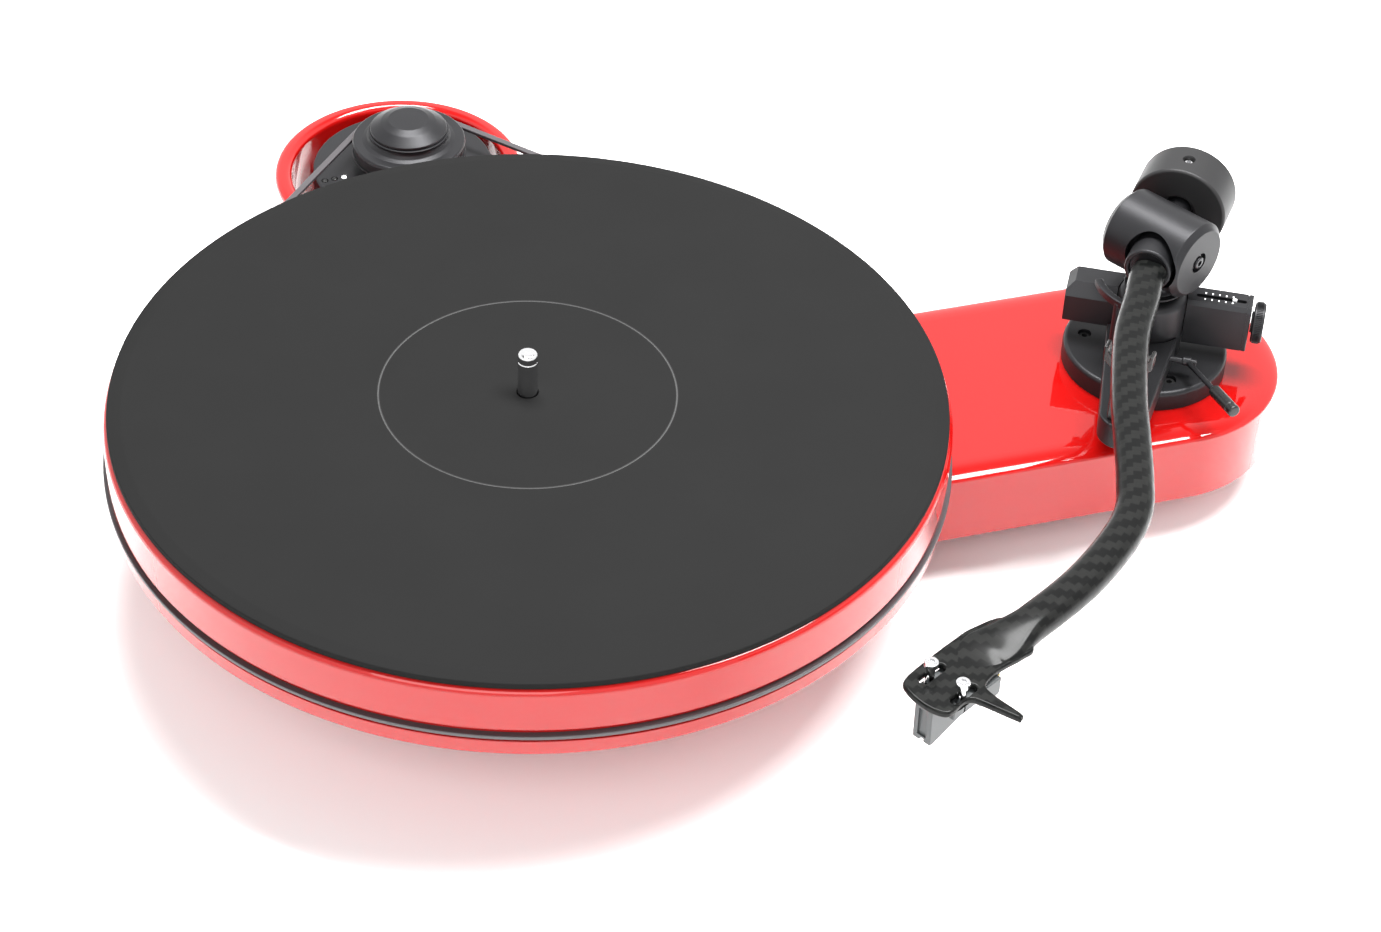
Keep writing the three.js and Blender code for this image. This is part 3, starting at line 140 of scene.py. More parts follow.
GIMBAL_ANGLE = -60.6
GIMBAL_RADIUS = 14.75
GIMBAL_HALF = 17
GIMBAL_CHAMFER = 2.2
ARM_LINE_ANGLE = -128.7
COLLAR_RADIUS = 8.6
COLLAR_FRONT = 18.6
TUBE_WIDTH = 12.6
TUBE_HEIGHT = 10.4
TUBE_DROP = 3.2
# The tube's centre line: distance along the arm line, distance to its right
TUBE_LINE = [
    (18.9, 1.1), (24, 1.1), (36, 2.8), (53.5, 4.7), (70, 8.2), (92, 14.3), (112, 21.1), (131.5, 27.5),
    (146.5, 31.3), (163, 30.9), (186, 26.2), (208, 18.2), (224, 11),
]
TOW = 2.1  # width of one carbon tow
WRAP_RADIUS = 5.9  # the tube's, for the weave
WIDENS = (211, 227)  # where along the arm line the tube widens into the shell's neck
FLATTENS = (209, 239)
SHELL_NECK_WIDTH = 17.6
SHELL_PLACE = (250.9, 0.8)
SHELL_ANGLE = -21.6
SHELL_THICKNESS = 2.5
SHELL_OUTLINE = [
    (-38, -6.6), (-27, -11.2), (-18, -11.9), (-2.4, -11.8), (7.2, -10.8), (10.2, -7), (11.4, -0.5),
    (11, 4.5), (9.4, 8), (6.7, 8.9), (1.5, 8.5), (-1, 9.4), (-2.2, 12), (-4.9, 24.4), (-6.2, 25.2),
    (-7.4, 23.9), (-7.8, 13), (-9.4, 8.4), (-15.3, 7), (-21.3, 7.4), (-28, 8.4), (-34, 7.5),
]
SCREW_SPACING = 12.7
CARTRIDGE_WIDTH = 16.8
WEIGHT_RADIUS = 17.8

# ------------------------------------------------------------------ places, from the frame


def middle(node):
    low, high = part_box(node)
    return (Vector(low) + Vector(high)) / (2 * MM)


def bottom(node):
    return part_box(node)[0][2] / MM


def top(node):
    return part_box(node)[1][2] / MM


def joint(name):
    return next(j for j in frame["joints"] if j["name"] == name)


def standing(centre, height=0.0):
    return Matrix.Translation((centre[0], centre[1], height))


def turned_by(degrees):
    return Matrix.Rotation(math.radians(degrees), 4, "Z")


def aimed(heading, rise, place=(0, 0, 0)):
    """Turns what is made along +Z to a heading and a rise."""
    tilt = Matrix.Rotation(math.radians(90 - rise), 4, "Y")
    return Matrix.Translation(place) @ turned_by(heading) @ tilt


def facing_back(x, y, z):
    """Turns what is made along +Z to face the rear."""
    return Matrix.Translation((x, y, z)) @ Matrix.Rotation(-math.pi / 2, 4, "X")


SPINDLE = middle("record_spindle")
PIVOT = middle("arm_pillar")
MOTOR = middle("motor_shaft")
HOUSING = middle("motor_base")
REACH = PIVOT.x - SPINDLE.x
RING = Vector((SPINDLE.x + RING_SHIFT, MOTOR.y + RING_BACK, 0))
PLINTH_TOP = top("plinth")
PLATTER_BOTTOM = bottom("platter")
PLATTER_TOP = top("platter")
MAT_TOP = top("platter_mat")
BELT_CENTRE = middle("drive_belt").z
HOUSING_TOP = top("motor_housing")
BASE_TOP = top("arm_base")
PILLAR_TOP = top("arm_pillar")
ARM_AXIS = joint("arm_tilt")["pos_m"][2] / MM
AT_SPINDLE = standing(SPINDLE)
AT_PIVOT = standing(PIVOT)
AT_BEAM = AT_PIVOT @ turned_by(BEAM_ANGLE)
AT_ARM = standing(PIVOT, ARM_AXIS) @ turned_by(ARM_LINE_ANGLE)
SHELL_BOTTOM = -TUBE_DROP - SHELL_THICKNESS / 2  # from the arm's axis
AT_SHELL = AT_ARM @ Matrix.Translation((*SHELL_PLACE, SHELL_BOTTOM)) @ turned_by(SHELL_ANGLE)

# ------------------------------------------------------------------ nodes and shader maths


class Value:
    """A number in a node tree, so that arithmetic on it adds Math nodes."""

    def __init__(self, tree, socket):
        self.tree = tree
        self.socket = socket

    def math(self, operation, *others):
        sockets = dict(enumerate((self, *others)))
        return self.tree.value("ShaderNodeMath", {"operation": operation}, sockets)

    def __add__(self, other):
        return self.math("ADD", other)

    def __sub__(self, other):
        return self.math("SUBTRACT", other)

    def __rsub__(self, other):
        return self.tree.value("ShaderNodeMath", {"operation": "SUBTRACT"}, {0: other, 1: self})

    def __mul__(self, other):
        return self.math("MULTIPLY", other)

    def __truediv__(self, other):
        return self.math("DIVIDE", other)

    __radd__ = __add__
    __rmul__ = __mul__


class Tree:
    """Adds nodes to a tree: the type, its settings, then its sockets' values or links."""

    def __init__(self, tree):
        self.tree = tree

    def node(self, kind, settings=None, sockets=None):
        made = self.tree.nodes.new(kind)
        for name, value in (settings or {}).items():
            setattr(made, name, value)
        for key, value in (sockets or {}).items():
            self.feed(made.inputs[key], value)
        return made

    def value(self, kind, settings=None, sockets=None, output=0):
        return Value(self, self.node(kind, settings, sockets).outputs[output])

    def feed(self, socket, value):
        if isinstance(value, Value):
            value = value.socket
        if isinstance(value, bpy.types.NodeSocket):
            self.tree.links.new(value, socket)
        else:
            socket.default_value = value


class Look(Tree):
    """One finish: a Principled shader with fixed values and what varies over the surface."""

    def __init__(self, name, fixed):
        self.material = bpy.data.materials.new(name)
        self.material.use_nodes = True
        super().__init__(self.material.node_tree)
        self.shader = self.tree.nodes["Principled BSDF"]
        for socket, value in fixed.items():
            self.shader.inputs[socket].default_value = value

    def place(self, centre=(0, 0, 0), scale=(1, 1, 1), source="Object"):
        """Object coordinates in millimetres from a centre, or the mesh's own UV map."""
        coordinates = self.node("ShaderNodeTexCoord").outputs[source]
        unit = 1 / MM if source == "Object" else 1
        return self.value("ShaderNodeMapping", {}, {
            "Vector": coordinates,
            "Location": [-c * s for c, s in zip(centre, scale)],
            "Scale": [s * unit for s in scale],
        })

    def noise(self, vector, scale, detail=2.0, rough=0.5):
        return self.value("ShaderNodeTexNoise", {}, {
            "Vector": vector, "Scale": scale, "Detail": detail, "Roughness": rough,
        })

    def split(self, vector):
        """The first two coordinates of a vector."""
        outputs = self.node("ShaderNodeSeparateXYZ", {}, {0: vector}).outputs
        return Value(self, outputs[0]), Value(self, outputs[1])

    def blend(self, factor, first, second):
        return self.value("ShaderNodeMix", {"data_type": "RGBA"}, {0: factor, 6: first, 7: second}, 2)

    def bump(self, height, strength, distance):
        normal = self.node("ShaderNodeBump", {}, {
            "Height": height, "Strength": strength, "Distance": distance * MM,
        })
        self.feed(self.shader.inputs["Normal"], normal.outputs[0])

    def vary(self, socket, value):
        self.feed(self.shader.inputs[socket], value)


def grey(level):
    return (level, level, level, 1)


def between(value, low, high):
    """Maps a value from 0..1 to low..high."""
    return value * (high - low) + low


def grained(name, specular, noise, colours, roughness, bump=None):
    """A finish broken by one fine grain: its colour, its roughness and, where given, its relief."""
    look = Look(name, {"Specular IOR Level": specular})
    grain = look.noise(look.place(), *noise)
    look.vary("Base Color", look.blend(grain, *colours))
    look.vary("Roughness", between(grain, *roughness))
    if bump:
        look.bump(grain, *bump)
    return look.material


def lacquer():
    """Deep red gloss: a sprayed coat with a trace of orange peel over a solid colour."""
    look = Look("red_lacquer", {
        "IOR": 1.5, "Coat Weight": 1.0, "Coat Roughness": 0.02, "Coat IOR": 1.5, "Specular IOR Level": 0.05,
    })
    where = look.place()
    cloud = look.noise(where, 0.02, 3)
    look.vary("Base Color", look.blend(cloud, (0.325, 0.0025, 0.002, 1), (0.36, 0.0035, 0.003, 1)))
    look.vary("Roughness", between(look.noise(where, 0.3), 0.16, 0.24))
    peel = look.noise(where, 0.35, 1)
    look.bump(peel, 0.06, 0.06)
    return look.material


def mat_vinyl():
    """Satin charcoal mat: fine grain, a cloudy tone and a pale label circle."""
    look = Look("mat_vinyl", {"Specular IOR Level": 0.04})
    where = look.place((SPINDLE.x, SPINDLE.y, 0))
    x, y = look.split(where)
    radius = (x * x + y * y).math("SQRT")
    line = (1 - (radius - LABEL_RADIUS).math("ABSOLUTE") * 2.2).math("MAXIMUM", 0.0)
    grain = look.noise(where, 3.0, 4, 0.6)
    drift = look.noise(where, 0.03, 2)
    base = look.blend(drift, grey(0.0096), grey(0.0116))
    speck = look.blend(grain * 0.35, base, grey(0.016))
    look.vary("Base Color", look.blend(line, speck, grey(0.085)))
    look.vary("Roughness", between(grain, 0.6, 0.76))
    look.bump(grain, 0.25, 0.05)
    return look.material


def anodised(name, low, high, rough, metallic):
    """Black anodised aluminium: bead-blasted, with a slightly cloudy dye and a hard sheen."""
    look = Look(name, {"Metallic": metallic, "Specular IOR Level": 0.38})
    where = look.place()
    blast = look.noise(where, 6.0, 3, 0.6)
    cloud = look.noise(where, 0.08, 3, 0.5)
    tone = look.blend(cloud, low, high)
    look.vary("Base Color", look.blend(blast * 0.3, tone, high))
    look.vary("Roughness", between(blast, rough - 0.05, rough + 0.06) + cloud * 0.05)
    look.bump(blast, 0.25, 0.02)
    return look.material


def metal(name, colour, rough):
    """Turned and polished metal, with fine tool marks."""
    look = Look(name, {"Metallic": 1.0})
    marks = look.noise(look.place(), 1.2, 4, 0.6)
    darker = [c * 0.86 for c in colour[:3]] + [1]
    look.vary("Base Color", look.blend(marks, darker, colour))
    look.vary("Roughness", between(marks, rough * 0.7, rough * 1.4))
    look.bump(marks, 0.12, 0.01)
    return look.material


def carbon():
    """Two-by-two twill of carbon tows under a clear coat; the weave follows the UV map, in tows."""
    look = Look("carbon_fibre", {
        "Specular IOR Level": 0.06, "Coat Weight": 0.26, "Coat Roughness": 0.13, "Coat IOR": 1.4,
    })
    u, v = look.split(look.place(source="UV"))
    step = (u.math("FLOOR") + v.math("FLOOR")) * 0.25
    over = step.math("FRACT").math("LESS_THAN", 0.49)
    along_u = look.noise(look.place(scale=(1.5, 40, 1), source="UV"), 1.0, 3, 0.7)
    along_v = look.noise(look.place(scale=(40, 1.5, 1), source="UV"), 1.0, 3, 0.7)
    warp = look.blend(along_u, (0.0018, 0.002, 0.002, 1), (0.0044, 0.0048, 0.0046, 1))
    weft = look.blend(along_v, (0.0036, 0.0038, 0.0036, 1), (0.0125, 0.013, 0.0122, 1))
    look.vary("Base Color", look.blend(over, weft, warp))
    look.vary("Roughness", between(over, 0.42, 0.3))
    look.vary("Metallic", between(over, 0.12, 0.04))
    crown_u = (v.math("FRACT") * math.pi).math("SINE")
    crown_v = (u.math("FRACT") * math.pi).math("SINE")
    look.bump(crown_v + (crown_u - crown_v) * over, 0.15, 0.08)
    return look.material


def lamp_white():
    look = Look("lamp_white", {"Emission Strength": 0.7, "Roughness": 0.3})
    glow = look.noise(look.place(), 1.5, 1)
    look.vary("Base Color", look.blend(glow, grey(0.8), grey(0.95)))
    look.vary("Emission Color", look.blend(glow, (0.85, 0.9, 1, 1), (1, 1, 1, 1)))
    return look.material


LOOKS = {
    "red_lacquer": lacquer(),
    "mat_vinyl": mat_vinyl(),
    "rubber": grained(
        "rubber", 0.35, (1.5, 5, 0.65), (grey(0.0176), grey(0.0286)), (0.62, 0.85), (0.4, 0.08)),
    "belt_rubber": grained(
        "belt_rubber", 0.6, (1.6, 4, 0.6), ((0.034, 0.030, 0.033, 1), (0.058, 0.053, 0.057, 1)),
        (0.32, 0.5), (0.3, 0.05)),
    "moulded_black": grained(
        "moulded_black", 0.42, (2.4, 3, 0.5), (grey(0.006), grey(0.011)), (0.22, 0.36), (0.15, 0.03)),
    "black_anodised": anodised(
        "black_anodised", (0.014, 0.014, 0.0155, 1), (0.020, 0.020, 0.022, 1), 0.38, 0.5),
    "black_steel": anodised("black_steel", (0.017, 0.017, 0.018, 1), (0.024, 0.0235, 0.024, 1), 0.44, 0.4),
    "gloss_black_steel": anodised(
        "gloss_black_steel", (0.020, 0.020, 0.022, 1), (0.030, 0.030, 0.033, 1), 0.12, 0.6),
    "bright_steel": metal("bright_steel", (0.80, 0.80, 0.81, 1), 0.10),
    "brass": metal("brass", (0.78, 0.57, 0.27, 1), 0.22),
    "carbon_fibre": carbon(),
    "cartridge_grey": grained(
        "cartridge_grey", 0.5, (3.2, 4, 0.6), ((0.040, 0.044, 0.0455, 1), (0.055, 0.060, 0.0615, 1)),
        (0.32, 0.46), (0.2, 0.03)),
    "lamp_white": lamp_white(),
    "scale_white": grained("scale_white", 0.4, (4.0, 2), (grey(0.72), grey(0.86)), (0.45, 0.6)),
}

# ------------------------------------------------------------------ shapes


def arc(centre, radius, start, end, step=4.0):
    """Points round an arc, from one angle to another in degrees."""
    count = max(2, math.ceil(abs(end - start) / step))
    angles = [math.radians(start + (end - start) * k / count) for k in range(count + 1)]
    return [(centre[0] + radius * math.cos(a), centre[1] + radius * math.sin(a)) for a in angles]


def circle(centre, radius, count=48):
    return arc(centre, radius, 0, 360, 360 / count)[:-1]


def soften(points, steps=6):
    """Rounds an outline's corners: a point is (a, b), or (a, b, radius) where it is rounded."""
    result = []
    for k, point in enumerate(points):
        if len(point) == 2:
            result.append(tuple(point))
            continue
        here = Vector(point[:2])
        back = Vector(points[k - 1][:2]) - here
        on = Vector(points[(k + 1) % len(points)][:2]) - here
        half = back.angle(on) / 2
        reach = min(point[2] / math.tan(half), 0.49 * back.length, 0.49 * on.length)
        radius = reach * math.tan(half)
        centre = here + (back.normalized() + on.normalized()).normalized() * radius / math.sin(half)
        first = here + back.normalized() * reach - centre
        last = here + on.normalized() * reach - centre
        start = math.atan2(first.y, first.x)
        turn = (math.atan2(last.y, last.x) - start + math.pi) % (2 * math.pi) - math.pi
        for s in range(steps + 1):
            a = start + turn * s / steps
            result.append((centre.x + radius * math.cos(a), centre.y + radius * math.sin(a)))
    return result


def curve_through(points, steps=8, closed=True):
    """A smooth Catmull-Rom line through points."""
    count = len(points)
    spans = count if closed else count - 1
    pick = (lambda k: Vector(points[k % count])) if closed else (
        lambda k: Vector(points[min(max(k, 0), count - 1)]))
    line = []
    for k in range(spans):
        a, b, c, d = (pick(k + j) for j in (-1, 0, 1, 2))
        for s in range(steps):
            t = s / steps
            line.append(0.5 * (2 * b + (c - a) * t + (2 * a - 5 * b + 4 * c - d) * t ** 2
                               + (3 * b - a - 3 * c + d) * t ** 3))
    if not closed:
        line.append(Vector(points[-1]))
    return [tuple(p) for p in line]


class Solid:
    """Closed surfaces in millimetres, gathered from several shapes."""

    def __init__(self):
        self.corners = []
        self.faces = []
        self.uvs = []

    def take(self, corners, faces, place, uv=None):
        first = len(self.corners)
        self.corners += [tuple(place @ Vector(c)) for c in corners]
        self.faces += [[first + k for k in face] for face in faces]
        self.uvs += uv or [(0.0, 0.0)] * len(corners)
        return self

    def turn(self, profile, place=Matrix(), sides=96, loop=False):
        """A profile of (radius, height) turned round Z; it ends on the axis or closes on itself."""
        corners = []
        rings = []
        for radius, height in profile:
            count = 1 if radius < 1e-6 else sides
            rings.append([len(corners) + k for k in range(count)])
            for k in range(count):
                a = 2 * math.pi * k / count
                corners.append((radius * math.cos(a), radius * math.sin(a), height))
        faces = []
        for low, high in zip(rings, rings[1:] + (rings[:1] if loop else [])):
            for k in range(sides):
                n = k + 1
                face = dict.fromkeys((
                    low[k % len(low)], low[n % len(low)], high[n % len(high)], high[k % len(high)]))
                if len(face) > 2:
                    faces.append(list(face))
        return self.take(corners, faces, place)

    def plate(self, outline, low, high, place=Matrix(), rounding=0.0, holes=(), steps=5, tows=None,
              crown=None):
        """An outline between two heights, its edges and its holes' edges rounded.

        The crown gives, for a point of the outline, how much wider than high its rounding is.
        """
        outlines = [outline, *holes]
        normals = [edge_normals(points, k == 0) for k, points in enumerate(outlines)]
        if crown:
            normals[0] = [(nx * crown(*p), ny * crown(*p)) for p, (nx, ny) in zip(outline, normals[0])]
        levels = [(rounding, low)]
        if rounding:
            for s in range(1, steps + 1):
                a = math.pi / 2 * s / steps
                levels.append((rounding * (1 - math.sin(a)), low + rounding * (1 - math.cos(a))))
        levels += [(inset, low + high - height) for inset, height in reversed(levels)]
        corners = []
        faces = []
        starts = []
        for inset, height in levels:
            row = []
            for points, inward in zip(outlines, normals):
                row.append(len(corners))
                corners += [(x + inset * nx, y + inset * ny, height)
                            for (x, y), (nx, ny) in zip(points, inward)]
            starts.append(row)
        for row, above in zip(starts, starts[1:]):
            for points, a, b in zip(outlines, row, above):
                count = len(points)
                faces += [[a + k, a + (k + 1) % count, b + (k + 1) % count, b + k] for k in range(count)]
        flat = [[Vector((c[0], c[1], 0)) for c in corners[start:start + len(points)]]
                for points, start in zip(outlines, starts[0])]
        for triangle in tessellate_polygon(flat):
            faces.append([starts[0][0] + k for k in triangle])
            faces.append([starts[-1][0] + k for k in triangle])
        uv = [(c[0] / tows, c[1] / tows) for c in corners] if tows else None
        return self.take(corners, faces, place, uv)

    def box(self, size, centre, place=Matrix()):
        x, y, z = (s / 2 for s in size)
        outline = [(-x, -y), (x, -y), (x, y), (-x, y)]
        return self.plate(outline, -z, z, place @ Matrix.Translation(centre))

    def loft(self, rings, place=Matrix(), uv=None):
        """Skin over closed rings of equally many points, with flat ends."""
        count = len(rings[0])
        corners = [c for ring in rings for c in ring]
        faces = []
        for r in range(len(rings) - 1):
            a = r * count
            faces += [[a + k, a + (k + 1) % count, a + count + (k + 1) % count, a + count + k]
                      for k in range(count)]
        faces.append(list(range(count)))
        faces.append(list(range(len(corners) - count, len(corners))))
        return self.take(corners, faces, place, uv)


def edge_normals(points, outer):
    """For each corner of an outline, the way its edge moves in as it is rounded."""
    area = sum(a[0] * b[1] - b[0] * a[1] for a, b in zip(points, points[1:] + points[:1]))
    sign = 1 if (area > 0) == outer else -1
    result = []
    for k, here in enumerate(points):
        back = Vector((here[0] - points[k - 1][0], here[1] - points[k - 1][1])).normalized()
        ahead = points[(k + 1) % len(points)]
        on = Vector((ahead[0] - here[0], ahead[1] - here[1])).normalized()
        inward = Vector((-back.y - on.y, back.x + on.x))
        lean = max(inward.length / 2, 0.3)
        inward = inward.normalized() / lean * sign
        result.append((inward.x, inward.y))
    return result


def linked(name, data):
    """An object for the data, in the scene."""
    made = bpy.data.objects.new(name, data)
    bpy.context.scene.collection.objects.link(made)
    return made


def faced_out(mesh):
    """The mesh with shared corners and its faces outwards."""
    work = bmesh.new()
    work.from_mesh(mesh)
    bmesh.ops.remove_doubles(work, verts=work.verts, dist=1e-7)
    bmesh.ops.recalc_face_normals(work, faces=work.faces)
    work.to_mesh(mesh)
    work.free()


def object_of(name, solid, slot):
    """A mesh object in metres."""
    mesh = bpy.data.meshes.new(name)
    mesh.from_pydata([tuple(x * MM for x in c) for c in solid.corners], [], solid.faces)
    layer = mesh.uv_layers.new(name="weave")
    for loop in mesh.loops:
        layer.data[loop.index].uv = solid.uvs[loop.vertex_index]
    faced_out(mesh)
    mesh.materials.append(LOOKS[slot])
    return linked(name, mesh)


def settled(made):
    """The object with its modifiers worked into its mesh."""
    bpy.context.view_layer.update()
    depsgraph = bpy.context.evaluated_depsgraph_get()
    mesh = bpy.data.meshes.new_from_object(made.evaluated_get(depsgraph))
    made.modifiers.clear()
    made.data = mesh
    return made


def carve(made, solids, operation="DIFFERENCE"):
    """Cuts or joins solids one after another, exactly."""
    tools = [object_of(f"{made.name}_tool_{k}", solid, "moulded_black") for k, solid in enumerate(solids)]
    for tool in tools:
        cut = made.modifiers.new("cut", "BOOLEAN")
        cut.operation = operation
        cut.solver = "EXACT"
        cut.object = tool
    settled(made)
    for tool in tools:
        bpy.data.objects.remove(tool)
    return made


def bevelled(made, width, angle=35, segments=3):
    bevel = made.modifiers.new("edges", "BEVEL")
    bevel.width = width * MM
    bevel.segments = segments
    bevel.limit_method = "ANGLE"
    bevel.angle_limit = math.radians(angle)
    bevel.use_clamp_overlap = True
    return settled(made)


def finished(made, body, nodes, sharp=40):
    """Smooth shading with weighted normals; attaches the piece to its body and hides the CAD nodes it stands
    for.
    """
    made.data.shade_smooth()
    made.data.set_sharp_from_angle(angle=math.radians(sharp))
    weigh = made.modifiers.new("weighted", "WEIGHTED_NORMAL")
    weigh.keep_sharp = True
    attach(made, body)
    if nodes:
        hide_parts(*nodes)
    return made


def piece(name, solid, body, slot, nodes=None, cuts=(), joins=(), bevel=0.0, angle=35, look=None):
    """One finished piece, which stands for the CAD node of its own name unless told otherwise."""
    made = object_of(name + "_fine", solid, look or slot)
    if joins:
        carve(made, joins, "UNION")
    if cuts:
        carve(made, cuts)
    if bevel:
        bevelled(made, bevel, angle)
    return finished(made, body, [name] if nodes is None else nodes)


def turned(name, profile, place, sides, body, slot, loop=False, steps=6, **more):
    """A piece that is one profile, its corners rounded, turned round its axis."""
    piece(name, Solid().turn(soften(profile, steps), place, sides, loop), body, slot, **more)


def pin(radius, low, high, rounding=0.3):
    """The profile of a plain round pin with rounded ends."""
    return soften([(0, low), (radius, low, rounding), (radius, high, rounding), (0, high)])


def rod(radius, low, high, place, sides, rounding=0.3):
    """A round solid with rounded ends, as a piece or a cutter."""
    return Solid().turn(pin(radius, low, high, rounding), place, sides)


def key_hole(radius, floor, place):
    """A hexagon cutter for a screw's key, from its floor upwards."""
    return Solid().plate(circle((0, 0), radius, 6), floor, floor + 5, place)


# ------------------------------------------------------------------ repeats, by geometry nodes


def geometry_tree(name, sizes):
    """A node tree that takes a mesh, named sizes and a finish, and what it is given."""
    tree = bpy.data.node_groups.new(name, "GeometryNodeTree")
    inputs = {"Geometry": "NodeSocketGeometry", **sizes, "Finish": "NodeSocketMaterial"}
    for label, socket in inputs.items():
        tree.interface.new_socket(label, in_out="INPUT", socket_type=socket)
    tree.interface.new_socket("Geometry", in_out="OUTPUT", socket_type="NodeSocketGeometry")
    nodes = Tree(tree)
    return nodes, nodes.node("NodeGroupInput").outputs


def give_out(nodes, geometry, finish):
    """Makes the geometry real, gives it the finish, and passes it out of the tree."""
    real = nodes.node("GeometryNodeRealizeInstances", {}, {0: geometry}).outputs[0]
    painted = nodes.node("GeometryNodeSetMaterial", {}, {"Geometry": real, "Material": finish})
    nodes.node("NodeGroupOutput", {}, {0: painted.outputs[0]})
    return nodes.tree


def repeat_group(name, in_ring):
    """Copies of a mesh, turned round Z in a ring or set along X in a row."""
    nodes, given = geometry_tree(name, {"Count": "NodeSocketInt", "Size": "NodeSocketFloat"})
    index = nodes.value("GeometryNodeInputIndex")
    spot = turn = (0, 0, 0)
    if in_ring:
        angle = index / Value(nodes, given["Count"]) * (2 * math.pi)
        turn = nodes.value("ShaderNodeCombineXYZ", {}, {2: angle})
    else:
        spot = nodes.value("ShaderNodeCombineXYZ", {}, {0: index * Value(nodes, given["Size"])})
    points = nodes.value("GeometryNodeMeshLine", {}, {"Count": given["Count"], "Offset": (0, 0, 0)})
    placed = nodes.value("GeometryNodeSetPosition", {}, {"Geometry": points, "Position": spot})
    copies = nodes.value("GeometryNodeInstanceOnPoints", {}, {
        "Points": placed, "Instance": given["Geometry"], "Rotation": turn,
    })
    return give_out(nodes, copies, given["Finish"])


def set_inputs(modifier, values):
    for item in modifier.node_group.interface.items_tree:
        if item.in_out == "INPUT" and item.name in values:
            modifier[item.identifier] = values[item.name]


def repeated(name, solid, group, values, slot, place):
    """A solid repeated by a node group, then put in its place as one plain mesh."""
    made = object_of(name, solid, slot)
    modifier = made.modifiers.new("repeat", "NODES")
    modifier.node_group = group
    set_inputs(modifier, {**values, "Finish": LOOKS[slot]})
    settled(made)
    made.data.transform(Matrix.Scale(MM, 4) @ place @ Matrix.Scale(1 / MM, 4))
    return made


def belt_group():
    """A closed path swept with a rounded upright section."""
    sizes = dict.fromkeys(("Thickness", "Height", "Rounding"), "NodeSocketFloat")
    nodes, given = geometry_tree("swept_belt", sizes)
    path = nodes.value("GeometryNodeMeshToCurve", {}, {0: given["Geometry"]})
    upright = nodes.value("GeometryNodeSetCurveNormal", {"mode": "Z_UP"}, {0: path})
    sides = nodes.value("GeometryNodeCurvePrimitiveQuadrilateral", {}, {
        "Width": given["Height"], "Height": given["Thickness"],
    })
    section = nodes.value("GeometryNodeFilletCurve", {"mode": "POLY"}, {
        "Curve": sides, "Count": 4, "Radius": given["Rounding"],
    })
    swept = nodes.value("GeometryNodeCurveToMesh", {}, {"Curve": upright, "Profile Curve": section})
    return give_out(nodes, swept, given["Finish"])


# ------------------------------------------------------------------ plinth and feet


def line_in_steps(start, end, count):
    """Points inside a straight line, without its ends."""
    return [tuple(a + (b - a) * k / count for a, b in zip(start, end)) for k in range(1, count)]


def board_crown(x, _y):
    """The arm board's edges roll off gently; the rest of the plinth has plain rounding."""
    return 1 + (BOARD_CROWN - 1) * eased(x, 100, 140)


def plinth_outline(step):
    """Arm board, hub disc and motor ring in one line, joined by fillets."""
    to_fillet = HUB_DISC_RADIUS + BOARD_FILLET
    rear_y = BOARD_HALF + BOARD_FILLET + BOARD_SHIFT
    front_y = BOARD_HALF + BOARD_FILLET - BOARD_SHIFT
    rear_x, front_x = (math.sqrt(to_fillet ** 2 - y ** 2) for y in (rear_y, front_y))
    end_x = REACH + BOARD_SHIFT
    rear_angle = math.degrees(math.atan2(rear_y, rear_x))
    front_angle = math.degrees(math.atan2(front_y, front_x))
    ring_x = RING.x - SPINDLE.x
    ring_y = RING.y - SPINDLE.y
    to_hub = HUB_DISC_RADIUS + NECK_FILLET
    to_ring = RING_OUTER + NECK_FILLET
    span = math.hypot(ring_x, ring_y)
    along = (to_hub ** 2 - to_ring ** 2 + span ** 2) / (2 * span)
    aside = math.sqrt(to_hub ** 2 - along ** 2)
    tilt = math.degrees(math.atan2(ring_y, ring_x))
    at_hub = math.degrees(math.atan2(aside, along))
    at_ring = math.degrees(math.atan2(aside, span - along))
    right, left = [((along * ring_x + side * aside * ring_y) / span,
                    (along * ring_y - side * aside * ring_x) / span) for side in (1, -1)]
    return [
        *line_in_steps((front_x, BOARD_SHIFT - BOARD_HALF), (end_x, BOARD_SHIFT - BOARD_HALF), 24),
        *arc((end_x, BOARD_SHIFT), BOARD_HALF, -90, 90, step),
        *line_in_steps((end_x, BOARD_HALF + BOARD_SHIFT), (rear_x, BOARD_HALF + BOARD_SHIFT), 24),
        *arc((rear_x, rear_y), BOARD_FILLET, 270, 180 + rear_angle, step),
        *arc((0, 0), HUB_DISC_RADIUS, rear_angle, tilt - at_hub, step)[1:],
        *arc(right, NECK_FILLET, 180 + tilt - at_hub, tilt + at_ring, step)[1:],
        *arc((ring_x, ring_y), RING_OUTER, tilt - 180 + at_ring, tilt + 180 - at_ring, step)[1:],
        *arc(left, NECK_FILLET, tilt - at_ring, tilt - 180 + at_hub, step)[1:],
        *arc((0, 0), HUB_DISC_RADIUS, tilt + at_hub, 360 - front_angle, step)[1:],
        *arc((front_x, -front_y), BOARD_FILLET, 180 - front_angle, 90, step)[1:],
    ]


def make_plinth():
    ring = (RING.x - SPINDLE.x, RING.y - SPINDLE.y)
    holes = [circle(ring, RING_INNER, 144), circle((0, 0), BEARING_RADIUS + GAP, 48),
             circle((REACH, 0), SLEEVE_RADIUS + GAP, 48)]
    body = Solid().plate(plinth_outline(2.5), bottom("plinth"), PLINTH_TOP, AT_SPINDLE,
                         PLINTH_ROUNDING, holes, 9, crown=board_crown)
    piece("plinth", body, "base", "red_lacquer")


